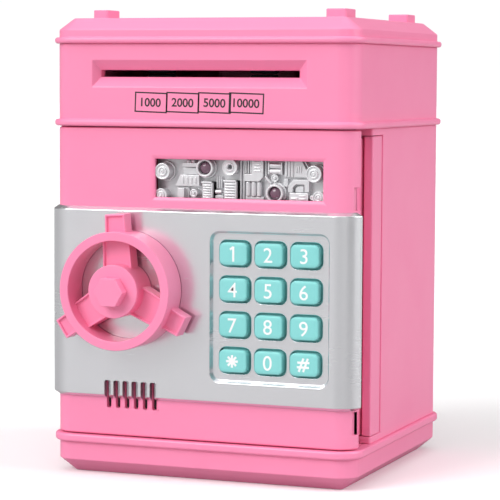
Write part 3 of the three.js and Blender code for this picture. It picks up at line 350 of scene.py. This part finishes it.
carried = {
    "steel": ["battery_cover_screw", "battery_contact_front", "battery_contact_rear", "feed_shaft",
              "pinch_shaft", "wheel_shaft", "feed_motor"]
             + [f"case_screw_{n}" for n in range(1, 5)] + [f"door_screw_{n}" for n in range(1, 5)],
    "cellSleeve": [f"battery_cell_{n}" for n in range(1, 4)],
    "blackPlastic": ["note_guide", "note_sensor", "speaker"],
    "rollerRubber": ["feed_roller_1", "feed_roller_2", "pinch_roller_1", "pinch_roller_2"],
    "whiteAcetal": ["feed_gear", "motor_pinion", "latch_pinion", "latch_bolt", "key_membrane"],
    "circuitBoard": ["keypad_board"],
    "pinkInner": ["floor_panel"],
}
for look, nodes in carried.items():
    for node in nodes:
        mesh = frame["nodes"][node].data
        mesh.materials.clear()
        mesh.materials.append(looks[look])

moulded = {
    "main_shell": {"look": "pinkShell", "round": 0.35, "keepLevel": True},
    "upper_case": {"look": "pinkShell", "round": 0.35},
    "roof_cover": {"look": "pinkShell", "round": 0.35},
    "base_tray": {"look": "pinkShell", "round": 0.35},
    "battery_cover": {"look": "pinkShell", "round": 0.2},
    "door_shell": {"look": "pinkShell", "round": 0.3, "grille": True},
    "door_back_panel": {"look": "pinkInner", "round": 0.2},
    "mid_deck": {"look": "pinkInner", "round": 0.2},
    "silver_fascia": {"look": "silverPaint", "round": 0.25, "grille": True},
}
grilleZone = ((-43, -62, 26), (-19, -50, 41))


def outsideGrille(edge):
    # the thin speaker slots keep their crisp edges
    low, high = grilleZone
    middle = (edge.verts[0].co + edge.verts[1].co) / 2 / mm
    return not all(low[i] < middle[i] < high[i] for i in range(3))


for node, values in moulded.items():
    shape = cadCopy(node, values.get("keepLevel", False))
    roundEdges(shape, values["round"], chosen=outsideGrille if values.get("grille") else None)
    addPiece(shape, node + "_moulding", body[node], looks[values["look"]], [node])
    print("moulded:", node)

# handwheel: rim, hub and three panelled bars; depths are negative in front of the door's face
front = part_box("door_shell")[0].y / mm
wheelJoint = next(joint for joint in frame["joints"] if joint["name"] == "wheel_turn")
handwheel = {
    "centre": Vector(wheelJoint["pos_m"]) / mm, "restAngle": 3.5, "barCount": 3,
    "rim": (19.8, 23.4), "rimSteps": 96, "rimBack": -2.6, "rimFront": -15.5,
    "hubRadius": 10.5, "hubSteps": 64, "hubFront": -16.4, "bore": 2.52,
    "barFront": -10.8, "barBack": -4.2, "panelBorder": 1.15, "panelDepth": 1.0,
    "bars": [{"from": 8.4, "to": 22.8, "width": 12.4, "endWidth": 11.1},
             {"from": 20.6, "to": 30.0, "width": 8.9, "endWidth": 8.4}],
    "edge": 0.32, "edgeSteps": 3,
}
wheelCap = {"sides": 6, "edge": 0.3, "edgeSteps": 3}


def addPanelledBar(shape, bar, turn):
    # a tapered bar with a sunk panel in its front face, swung to its place round the hub
    values = handwheel
    made = bmesh.new()
    bmesh.ops.create_cube(made, size=1)
    size = Vector((bar["width"], values["barBack"] - values["barFront"], bar["to"] - bar["from"]))
    bmesh.ops.scale(made, vec=size * mm, verts=made.verts)
    far = [v for v in made.verts if v.co.z > 0]
    bmesh.ops.scale(made, vec=(bar["endWidth"] / bar["width"], 1, 1), verts=far)
    place = Vector((0, (values["barBack"] + values["barFront"]) / 2, (bar["from"] + bar["to"]) / 2))
    bmesh.ops.translate(made, vec=place * mm, verts=made.verts)
    face = min(made.faces, key=lambda f: f.calc_center_median().y)
    bmesh.ops.inset_region(made, faces=[face], thickness=values["panelBorder"] * mm, depth=0)
    sunk = bmesh.ops.extrude_discrete_faces(made, faces=[face])["faces"]
    bmesh.ops.translate(made, vec=(0, values["panelDepth"] * mm, 0), verts=sunk[0].verts)
    roundEdges(made, values["edge"], values["edgeSteps"])
    swing = Matrix.Translation(values["centre"] * mm) @ Matrix.Rotation(math.radians(turn), 4, "Y")
    bmesh.ops.transform(made, matrix=swing, verts=made.verts)
    joinShape(shape, made)


def makeHandwheel():
    values = handwheel
    shape = bmesh.new()
    rimIn, rimOut = values["rim"]
    bore, hub = values["bore"], values["hubRadius"]
    back, rimFront, hubFront = values["rimBack"], values["rimFront"], values["hubFront"]
    rimProfile = [(rimIn, back), (rimIn, rimFront), (rimOut, rimFront), (rimOut, back)]
    hubProfile = [(bore, back), (bore, hubFront), (hub, hubFront), (hub, back)]
    addTurned(shape, rimProfile, values["centre"], values["rimSteps"])
    addTurned(shape, hubProfile, values["centre"], values["hubSteps"])
    bmesh.ops.recalc_face_normals(shape, faces=shape.faces)
    roundEdges(shape, values["edge"], values["edgeSteps"])
    for number in range(values["barCount"]):
        turn = values["restAngle"] + number * 360 / values["barCount"]
        for bar in values["bars"]:
            addPanelledBar(shape, bar, -turn)
    addPiece(shape, "handwheel_moulding", "wheel", looks["pinkShell"], ["handwheel"])


def makeWheelCap():
    # a hexagon with two level sides, closing the hub
    low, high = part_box("wheel_cap")
    halfSide = math.pi / wheelCap["sides"]
    radius = (high.z - low.z) / 2 / math.cos(halfSide)
    shape = bmesh.new()
    bmesh.ops.create_cone(
        shape, cap_ends=True, segments=wheelCap["sides"],
        radius1=radius, radius2=radius, depth=high.y - low.y,
        matrix=Matrix.Rotation(math.radians(90), 4, "X") @ Matrix.Rotation(halfSide, 4, "Z"),
    )
    bmesh.ops.translate(shape, vec=(low + high) / 2, verts=shape.verts)
    roundEdges(shape, wheelCap["edge"], wheelCap["edgeSteps"])
    addPiece(shape, "wheel_cap_moulding", "wheel", looks["pinkShell"], ["wheel_cap"])


makeHandwheel()
makeWheelCap()
print("handwheel made")


# keys with their printed figures
keys = {
    "corner": 2.0, "cornerSteps": 7, "edge": 0.5, "edgeSteps": 5, "flange": 1.35, "flangeThick": 1.0,
    "crown": 0.12, "crownSteps": [(0.4, 0.6), (0.55, 0.4)],  # inset, and its share of the crown's height
    "overlap": 0.02, "figureSize": 8.2, "figureWeight": 0.02, "figureDepth": 0.2,
    "figureProud": 0.03, "figureShift": -0.2, "strokeLift": 0.015,
}


def addKeyBlock(shape, low, high):
    # a block whose four corners are round seen from the front
    verts = addBlock(shape, low, high)
    halfDepth = abs(high[1] - low[1]) / 2 * mm
    upright = [e for e in {e for v in verts for e in v.link_edges}
               if abs((e.verts[0].co - e.verts[1].co).y) > halfDepth]
    bmesh.ops.bevel(shape, geom=upright, offset=keys["corner"] * mm, offset_type="OFFSET", affect="EDGES",
                    segments=keys["cornerSteps"], profile=0.5, material=-1, clamp_overlap=True)


def frontFace(shape):
    return min(shape.faces, key=lambda face: face.calc_center_median().y)


def makeKeycap(node):
    # a cap with a rounded rim and a low crown, on a flange that the door keeps in
    low, high = (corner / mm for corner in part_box(node))
    lip = keys["flange"]
    capBack = high.y - keys["flangeThick"]
    shape = bmesh.new()
    addKeyBlock(shape, (low.x + lip, low.y, low.z + lip), (high.x - lip, capBack, high.z - lip))
    bmesh.ops.bevel(shape, geom=list(frontFace(shape).edges), offset=keys["edge"] * mm, offset_type="OFFSET",
                    affect="EDGES", segments=keys["edgeSteps"], profile=0.5, material=-1, clamp_overlap=True)
    face = frontFace(shape)
    for inset, share in keys["crownSteps"]:
        rise = share * keys["crown"]
        bmesh.ops.inset_region(shape, faces=[face], thickness=inset * mm, depth=rise * mm)
    flange = bmesh.new()
    addKeyBlock(flange, (low.x, capBack - keys["overlap"], low.z), high)
    joinShape(shape, flange)
    addPiece(shape, node + "_cap", body[node], looks["tealKeys"], [node], sharp=50)


def makeFigure(words, size, weight, depth):
    # a printed word as a thin solid, centred on the origin and facing the front
    curve = bpy.data.curves.new("figure", "FONT")
    curve.body = words
    curve.size = size * mm
    curve.offset = weight * mm
    curve.extrude = depth / 2 * mm
    curve.resolution_u = 5
    holder = bpy.data.objects.new("figure", curve)
    scene.collection.objects.link(holder)
    bpy.context.view_layer.update()
    mesh = bpy.data.meshes.new_from_object(holder.evaluated_get(bpy.context.evaluated_depsgraph_get()))
    bpy.data.objects.remove(holder)
    shape = bmesh.new()
    shape.from_mesh(mesh)
    bpy.data.meshes.remove(mesh)
    bmesh.ops.remove_doubles(shape, verts=shape.verts, dist=weldGap)
    xs = [v.co.x for v in shape.verts]
    ys = [v.co.y for v in shape.verts]
    middle = Vector(((min(xs) + max(xs)) / 2, (min(ys) + max(ys)) / 2, 0))
    bmesh.ops.translate(shape, vec=-middle, verts=shape.verts)
    upright = Matrix.Rotation(math.radians(90), 3, "X")
    bmesh.ops.rotate(shape, cent=(0, 0, 0), matrix=upright, verts=shape.verts)
    return shape


def makeBars(bars, depth):
    # strokes given as (centre x, centre z, length, thickness, tilt); each stands a hair prouder than the
    # last, so that strokes that cross don't share a face
    shape = bmesh.new()
    for order, (x, z, length, thick, tilt) in enumerate(bars):
        lift = keys["strokeLift"] * order
        low = (-length / 2, -depth / 2 - lift, -thick / 2)
        verts = addBlock(shape, low, (length / 2, depth / 2, thick / 2))
        place = Matrix.Translation(Vector((x, 0, z)) * mm) @ Matrix.Rotation(math.radians(-tilt), 4, "Y")
        bmesh.ops.transform(shape, matrix=place, verts=verts)
    return shape


figureBars = {
    "1": [(0.35, 0, 5.9, 0.85, 90), (-0.35, 2.25, 1.7, 0.8, 40)],
    "star": [(0, 0, 4.9, 0.9, tilt) for tilt in (0, 45, 90, 135)],
    "hash": [(-0.85, 0, 5.6, 0.85, 70), (0.95, 0, 5.6, 0.85, 70), (0.1, 0.95, 4.9, 0.85, 0),
             (-0.1, -0.9, 4.9, 0.85, 0)],
}


def makeKeyPrint(node):
    figure = node.removeprefix("key_")
    if figure in figureBars:
        shape = makeBars(figureBars[figure], keys["figureDepth"])
    else:
        shape = makeFigure(figure, keys["figureSize"], keys["figureWeight"], keys["figureDepth"])
    low, high = (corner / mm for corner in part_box(node))
    centre = (low + high) / 2
    y = low.y - keys["crown"] - keys["figureProud"] + keys["figureDepth"] / 2
    spot = Vector((centre.x + keys["figureShift"], y, centre.z))
    bmesh.ops.translate(shape, vec=spot * mm, verts=shape.verts)
    addPiece(shape, node + "_print", body[node], looks["whitePrint"])


for node in [name for name in frame["nodes"] if name.startswith("key_") and name != "key_membrane"]:
    makeKeycap(node)
    makeKeyPrint(node)
print("keys made")


# four boxed figures printed under the note slot
labels = {
    "boxes": [{"words": "1000", "x": -21.1, "width": 13.9}, {"words": "2000", "x": -7.6, "width": 13.9},
              {"words": "5000", "x": 5.9, "width": 13.9}, {"words": "10000", "x": 19.2, "width": 14.6}],
    "z": 149.8, "height": 8.0, "line": 0.75, "tilt": 1.8, "size": 4.7, "weight": 0.08,
    "depth": 0.1, "sunk": 0.05,
}


def makeLabel(label):
    width, height, depth = label["width"], labels["height"], labels["depth"]
    shape = makeFigure(label["words"], labels["size"], labels["weight"], depth)
    box = bmesh.new()
    addBlock(box, (-width / 2, -depth / 2, -height / 2), (width / 2, depth / 2, height / 2))
    caps = [f for f in box.faces if abs(f.normal.y) > 0.9]
    bmesh.ops.inset_individual(box, faces=caps, thickness=labels["line"] * mm, depth=0)
    bmesh.ops.bridge_loops(box, edges=[e for f in caps for e in f.edges])
    bmesh.ops.delete(box, geom=caps, context="FACES_ONLY")
    joinShape(shape, box)
    bmesh.ops.recalc_face_normals(shape, faces=shape.faces)
    spot = Vector((label["x"], front + depth / 2 - labels["sunk"], labels["z"])) * mm
    place = Matrix.Translation(spot) @ Matrix.Rotation(math.radians(labels["tilt"]), 4, "Y")
    bmesh.ops.transform(shape, matrix=place, verts=shape.verts)
    addPiece(shape, "label_" + label["words"], "cabinet", looks["blackPrint"])


for label in labels["boxes"]:
    makeLabel(label)
print("labels made")


# machinery casting behind the window; depths run back from the door's face
castingRoot = 7.3  # every raised part starts just inside the plate
casting = {
    "plateFront": 7.0, "riseEdge": 0.22, "plateEdge": 0.2, "dialEdge": 0.09, "rodSoftness": 0.35,
    "ringWidth": 0.5, "grooveDepth": 0.45,
    "dials": [
        {"at": (-16.8, 122.7), "radii": [0.7, 1.75, 3.2, 3.9], "depths": [0.8, 1.0, 1.2, 5.4], "steps": 48},
        {"at": (-17.8, 113.3), "radii": [0.6, 1.5, 2.6], "depths": [1.6, 1.85, 2.1], "steps": 40},
        {"at": (46.3, 122.8), "radii": [0.7, 1.75, 3.2, 3.8], "depths": [1.4, 1.6, 1.8, 5.6], "steps": 48},
        {"at": (48.0, 113.6), "radii": [0.6, 1.5, 2.5], "depths": [2.4, 2.6, 2.8], "steps": 40},
        {"at": (45.2, 113.6), "radii": [0.95], "depths": [3.6], "steps": 20},
        {"at": (-4.2, 114.3), "radii": [0.6, 1.6], "depths": [2.6, 3.4], "steps": 28},
        {"at": (29.4, 120.8), "radii": [0.6, 1.5], "depths": [3.8, 4.4], "steps": 28},
    ],
    "turnedSteps": 48,
    "lensRings": [(0.55, 124.3), (29.85, 114.9)],
    "lensCollar": [(2.5, castingRoot), (2.55, 4.4), (2.7, 3.0), (2.85, 2.75), (3.45, 2.75), (3.7, 3.05),
                   (3.7, castingRoot)],
    "lensSkirt": [(3.4, castingRoot), (3.4, 5.4), (4.2, 5.4), (4.2, castingRoot)],
    "nozzle": (11.2, 124.8),
    "nozzleProfile": [(0.85, castingRoot), (0.85, 3.3), (1.25, 2.7), (1.55, 2.7), (1.8, 3.15), (2.6, 3.15),
                      (3.1, 2.8), (3.1, castingRoot)],
}
ribbed = {
    "bottom": 112.0, "face": 4.4, "frameFace": 3.1, "frameSide": 0.5, "frameTop": 0.7, "frameEdge": 0.15,
    "ribs": 6, "ribStart": 0.4, "ribSpare": 1.2, "ribFill": 0.6, "ribLeft": 0.7, "ribRight": 0.6,
    "ribDepths": (3.2, 4.8), "ribEdge": 0.22,
}


def ribbedBlock(left, right, top):
    # a framed block with level ribs across it
    values = ribbed
    bottom = values["bottom"]
    pitch = (top - bottom - values["ribSpare"]) / values["ribs"]
    lows = [bottom + values["ribStart"] + step * pitch for step in range(values["ribs"])]
    return {
        "rises": [
            (left, right, bottom, top, values["face"]),
            (right - values["frameSide"], right, bottom, top, values["frameFace"], values["frameEdge"]),
            (left, right, top - values["frameTop"], top, values["frameFace"], values["frameEdge"]),
        ],
        "bars": [
            (left + values["ribLeft"], right - values["ribRight"], low, low + pitch * values["ribFill"],
             *values["ribDepths"], values["ribEdge"])
            for low in lows
        ],
    }


# rises are (left, right, bottom, top, depth, edge) and stand on the plate; bars have a front and a back
# depth; plates are (outline, depth); rods are (start, end, radius, sides), each end an (x, depth, z)
castingGroups = {
    "louvredWedge": {
        "plates": [([(-12.6, 117.0), (-2.2, 117.0), (-2.2, 121.4), (-10.2, 121.4)], 4.2)],
        "bars": [(x - 0.45, x + 0.45, 117.9, 120.6, 3.7, 4.6, 0.3) for x in (-9.1, -7.3, -5.5, -3.7)],
    },
    "hooksAndLedges": {
        "rises": [(-9.2, -2.6, 124.6, 126.2, 3.9), (-9.4, -2.0, 121.6, 124.2, 5.4),
                  (-10.9, -8.3, 112.3, 116.1, 3.4), (-12.4, -7.0, 112.2, 116.5, 5.8)],
        "rods": [((x, 4.6, 126.9), (x + 1.3, 4.6, 126.9), 0.75) for x in (-7.4, -5.4)],
    },
    "leftRibbedBlock": ribbedBlock(-0.9, 3.9, 119.0),
    "rightRibbedBlock": ribbedBlock(8.3, 14.0, 119.7),
    "pinsAndCrossRod": {
        "rods": [((x, 5.9, 116.2), (x, 5.9, 121.0), 0.36, 12) for x in (4.9, 5.8, 6.7)]
                + [((4.7, 4.6, 115.0), (7.4, 4.6, 115.0), 0.85)],
        "rises": [(4.3, 7.9, 112.1, 113.6, 4.8)],
    },
    "channel": {
        "rises": [(x, x + 0.45, 111.8, 128.4, 5.0, 0.12) for x in (14.9, 16.2)]
                 + [(25.3, 25.8, 119.6, 128.2, 5.0, 0.12)],
    },
    "louvredPanel": {
        "plates": [([(17.0, 119.4), (23.0, 119.4), (24.8, 121.2), (24.8, 127.9), (19.9, 127.9), (19.9, 122.2),
                     (17.0, 122.2)], 4.0)],
        "rises": [(x - 0.28, x + 0.28, 122.4, 127.9, 5.0, 0.14) for x in (17.2, 18.2, 19.2)],
        "bars": [(20.9, 23.9, z - 0.3, z + 0.3, 3.6, 4.4, 0.2) for z in (127.0, 125.85, 124.7, 123.55)],
    },
    "threeColumns": {
        "rods": [((x, 5.3, 113.5), (x, 5.3, 119.1), 1.05, 20) for x in (18.2, 20.5, 22.8)],
        "rises": [(17.0, 24.6, 112.0, 113.4, 5.2)],
    },
    "twinRollers": {
        "rods": [((27.4, 4.7, z), (32.2, 4.7, z), 1.1, 20) for z in (123.4, 125.7)]
                + [((25.5, 4.8, 121.4), (27.9, 4.8, 118.7), 0.6)],
        "rises": [(26.9, 32.7, 122.1, 127.2, 5.6)]
                 + [(x, x + 0.6, 122.2, 126.9, 3.5, 0.2) for x in (26.9, 32.2)],
    },
    "ribbedWedge": {
        "plates": [([(33.4, 121.3), (43.8, 121.3), (40.6, 127.9), (33.4, 127.9)], 4.6)],
        "rises": [(x - 0.32, x + 0.32, 121.5, 127.8, 3.8, 0.16) for x in (34.4, 35.6, 36.8)],
        "bars": [(x, x + 0.4, 123.0, 125.6, 4.1, 4.9, 0.12) for x in (38.3, 39.2, 40.1)],
        "rods": [((41.4, 5.4, 128.0), (45.0, 5.4, 121.6), 0.45)],
    },
    "archedPipe": {
        "plates": [([(35.2, 115.6), (35.2, 118.2), (37.4, 120.4), (43.8, 120.4), (43.8, 115.6), (41.9, 115.6),
                     (41.9, 118.6), (38.3, 118.6), (37.1, 117.4), (37.1, 115.6)], 3.9),
                   ([(37.9, 115.5), (41.2, 115.5), (41.2, 117.8), (38.8, 117.8), (37.9, 116.9)], 4.9)],
        "rises": [(36.0, 43.7, 112.0, 115.3, 3.2), (33.0, 34.6, 117.5, 120.6, 5.2)],
        "bars": [(x, x + 2.6, z - 0.3, z + 0.3, 2.8, 3.6, 0.2)
                 for x, z in ((36.8, 113.2), (40.2, 113.0), (40.2, 114.2))],
    },
}


def addRise(shape, left, right, bottom, top, depth, edge=casting["riseEdge"]):
    # a raised block that stands on the plate
    addBlock(shape, (left, front + depth, bottom), (right, front + castingRoot, top), edge)


def addBar(shape, left, right, bottom, top, face, back, edge):
    addBlock(shape, (left, front + face, bottom), (right, front + back, top), edge)


def addRod(shape, start, end, radius, sides=16):
    # a round rod with softened ends
    a, b = (Vector((x, front + depth, z)) for x, depth, z in (start, end))
    along = (b - a).to_track_quat("Z", "Y").to_matrix().to_4x4()
    made = bmesh.ops.create_cone(
        shape, cap_ends=True, segments=sides, radius1=radius * mm, radius2=radius * mm,
        depth=(b - a).length * mm, matrix=Matrix.Translation((a + b) / 2 * mm) @ along,
    )["verts"]
    caps = [f for f in {f for v in made for f in v.link_faces} if len(f.verts) == sides]
    rims = list({e for f in caps for e in f.edges})
    softness = radius * casting["rodSoftness"]
    bmesh.ops.bevel(shape, geom=rims, offset=softness * mm, offset_type="OFFSET", affect="EDGES",
                    segments=2, profile=0.5, material=-1, clamp_overlap=True)


def addPlate(shape, outline, depth):
    # a flat raised part with any outline of (x, z) corners
    made = bmesh.new()
    face = made.faces.new([made.verts.new(Vector((x, front + depth, z)) * mm) for x, z in outline])
    bottom = bmesh.ops.extrude_face_region(made, geom=[face])["geom"]
    verts = [v for v in bottom if isinstance(v, bmesh.types.BMVert)]
    bmesh.ops.translate(made, vec=(0, (castingRoot - depth) * mm, 0), verts=verts)
    bmesh.ops.recalc_face_normals(made, faces=made.faces)
    roundEdges(made, casting["plateEdge"])
    joinShape(shape, made)


def dialProfile(radii, depths):
    # a ring stands up inside each radius, with a groove between it and the next
    ringWidth, groove = casting["ringWidth"], casting["grooveDepth"]
    outsides = [depth + groove for depth in depths[1:]] + [castingRoot]
    profile = [(0, depths[0] + groove)]
    for radius, depth, outside in zip(radii, depths, outsides):
        inner = radius - ringWidth
        profile += [(inner, depth + groove), (inner, depth), (radius, depth), (radius, outside)]
    return profile + [(0, castingRoot)]


def addTurnedParts(shape):
    # dials, the two lens rings and the nozzle
    values = casting
    steps = values["turnedSteps"]
    turned = bmesh.new()
    for dial in values["dials"]:
        x, z = dial["at"]
        addTurned(turned, dialProfile(dial["radii"], dial["depths"]), (x, front, z), dial["steps"])
    for x, z in values["lensRings"]:
        addTurned(turned, values["lensCollar"], (x, front, z), steps)
        addTurned(turned, values["lensSkirt"], (x, front, z), steps)
    x, z = values["nozzle"]
    addTurned(turned, values["nozzleProfile"], (x, front, z), steps)
    bmesh.ops.recalc_face_normals(turned, faces=turned.faces)
    roundEdges(turned, values["dialEdge"])
    joinShape(shape, turned)


def makeCasting():
    low, high = (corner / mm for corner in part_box("machinery_relief"))
    shape = bmesh.new()
    addBlock(shape, (low.x, front + casting["plateFront"], low.z), high)
    addTurnedParts(shape)
    makers = {"plates": addPlate, "rises": addRise, "bars": addBar, "rods": addRod}
    for group in castingGroups.values():
        for kind, parts in group.items():
            for part in parts:
                makers[kind](shape, *part)
    addPiece(shape, "machinery_casting", "door", looks["silverCasting"],
             ["machinery_relief"], sharp=35)


lens = {
    "profile": [(0, 3.2), (0.8, 3.28), (1.5, 3.5), (2.1, 3.9), (2.4, 4.4), (2.4, 9.2), (0, 9.2)],
    "steps": 40,
}


def makeLens(node, x, z):
    # a domed lens set in its ring
    shape = bmesh.new()
    addTurned(shape, lens["profile"], (x, front, z), lens["steps"])
    bmesh.ops.recalc_face_normals(shape, faces=shape.faces)
    addPiece(shape, node + "_lens", "door", looks["violetLens"], [node])


makeCasting()
for number, (x, z) in enumerate(casting["lensRings"], 1):
    makeLens(f"status_led_{number}", x, z)
print("casting made")


# floor, light and camera
studio = {
    "floor": {"reach": 12.0, "drop": 0.02, "shade": 0.5, "glow": 0.07, "roughness": 0.6, "gloss": 0.15},
    "backdrop": 1.02, "aim": (0, 0, 0.09),
    # level of the light from each side, by degrees round from the front towards the right
    "around": [(-180, 0.25), (-150, 0.2), (-115, 0.22), (-88, 0.3), (-60, 0.8), (-21, 0.72), (10, 0.62),
               (37, 1.0), (50, 0.2), (68, 0.15), (84, 1.0), (98, 0.95), (112, 0.3), (150, 0.14), (180, 0.25)],
    "suns": [
        {"name": "keySun", "from": (-0.45, -0.78, 0.62), "strength": 1.75, "spread": 35},
        {"name": "fillSun", "from": (0.93, 0.14, 0.45), "strength": 1.3, "spread": 40},
        {"name": "topSun", "from": (0.05, 0.05, 1.0), "strength": 0.65, "spread": 70},
    ],
    "panels": [
        {"name": "topStrip", "at": (-0.1, -0.35, 0.9), "size": (0.9, 0.12), "power": 0.5},
    ],
}


def makeFloorLook():
    # white as seen, and grey to the light that bounces off it
    values = studio["floor"]
    look = bpy.data.materials.new("paleFloor")
    look.use_nodes = True
    tree = look.node_tree
    shader = tree.nodes["Principled BSDF"]
    tone = tree.nodes.new("ShaderNodeMix")
    tone.data_type = "RGBA"
    tone.inputs["A"].default_value = (*[values["shade"]] * 3, 1)
    tone.inputs["B"].default_value = (1, 1, 1, 1)
    seen = tree.nodes.new("ShaderNodeLightPath").outputs["Is Camera Ray"]
    tree.links.new(seen, tone.inputs["Factor"])
    tree.links.new(tone.outputs["Result"], shader.inputs["Base Color"])
    shader.inputs["Roughness"].default_value = values["roughness"]
    shader.inputs["Specular IOR Level"].default_value = values["gloss"]
    shader.inputs["Emission Color"].default_value = (1, 1, 1, 1)
    tree.links.new(addMath(tree, "MULTIPLY", seen, values["glow"]), shader.inputs["Emission Strength"])
    return look


def makeFloor():
    shape = bmesh.new()
    bmesh.ops.create_grid(shape, x_segments=1, y_segments=1, size=studio["floor"]["reach"])
    mesh = bpy.data.meshes.new("studioFloor")
    shape.to_mesh(mesh)
    shape.free()
    mesh.materials.append(makeFloorLook())
    floor = bpy.data.objects.new("studioFloor", mesh)
    floor.location.z = -studio["floor"]["drop"] * mm
    scene.collection.objects.link(floor)


def makeWorld():
    # a ring of light levels round the object, and one even level behind it
    world = bpy.data.worlds.new("studioWorld")
    scene.world = world
    world.use_nodes = True
    tree = world.node_tree
    background = tree.nodes["Background"]
    seen = tree.nodes.new("ShaderNodeLightPath").outputs["Is Camera Ray"]
    direction = tree.nodes.new("ShaderNodeSeparateXYZ")
    tree.links.new(tree.nodes.new("ShaderNodeTexCoord").outputs["Generated"], direction.inputs["Vector"])
    forward = addMath(tree, "MULTIPLY", direction.outputs["Y"], -1.0)
    bearing = addMath(tree, "ARCTAN2", direction.outputs["X"], forward)
    ring = tree.nodes.new("ShaderNodeValToRGB")
    tree.links.new(addMath(tree, "MULTIPLY_ADD", bearing, 1 / fullTurn, 0.5), ring.inputs["Fac"])
    stops = ring.color_ramp.elements
    while len(stops) < len(studio["around"]):
        stops.new(0.5)
    for stop, (degrees, level) in zip(stops, studio["around"]):
        stop.position = degrees / 360 + 0.5
        stop.color = (level, level, level, 1)
    unseen = addMath(tree, "SUBTRACT", 1.0, seen)
    around = addMath(tree, "MULTIPLY", ring.outputs["Color"], unseen)
    strength = addMath(tree, "MULTIPLY_ADD", seen, studio["backdrop"], around)
    tree.links.new(strength, background.inputs["Strength"])
    background.inputs["Color"].default_value = (1, 1, 1, 1)


def placeLamp(name, lamp, back):
    # back points from the lit object to the lamp
    made = bpy.data.objects.new(name, lamp)
    made.rotation_euler = back.to_track_quat("Z", "Y").to_euler()
    scene.collection.objects.link(made)
    return made


def makeLamps():
    for values in studio["suns"]:
        lamp = bpy.data.lights.new(values["name"], "SUN")
        lamp.energy = values["strength"]
        lamp.angle = math.radians(values["spread"])
        placeLamp(values["name"], lamp, Vector(values["from"]))
    for values in studio["panels"]:
        lamp = bpy.data.lights.new(values["name"], "AREA")
        lamp.shape = "RECTANGLE"
        lamp.size, lamp.size_y = values["size"]
        lamp.energy = values["power"]
        made = placeLamp(values["name"], lamp, Vector(values["at"]) - Vector(studio["aim"]))
        made.location = values["at"]


view = {"at": (0.32308, -0.83969, 0.15901), "azimuth": 21.12, "pitch": 4.51, "roll": 0.29, "lens": 155.7,
        "sensor": 36}


def makeCamera():
    camera = bpy.data.cameras.new("frontCamera")
    camera.lens = view["lens"]
    camera.sensor_width = view["sensor"]
    made = bpy.data.objects.new("frontCamera", camera)
    turn = Matrix.Rotation(math.radians(view["azimuth"]), 4, "Z")
    tip = Matrix.Rotation(math.radians(90 - view["pitch"]), 4, "X")
    roll = Matrix.Rotation(math.radians(view["roll"]), 4, "Z")
    made.matrix_world = Matrix.Translation(view["at"]) @ turn @ tip @ roll
    scene.collection.objects.link(made)
    scene.camera = made


makeFloor()
makeWorld()
makeLamps()
makeCamera()
scene.view_settings.view_transform = "Standard"
print("studio set")

bpy.context.view_layer.update()
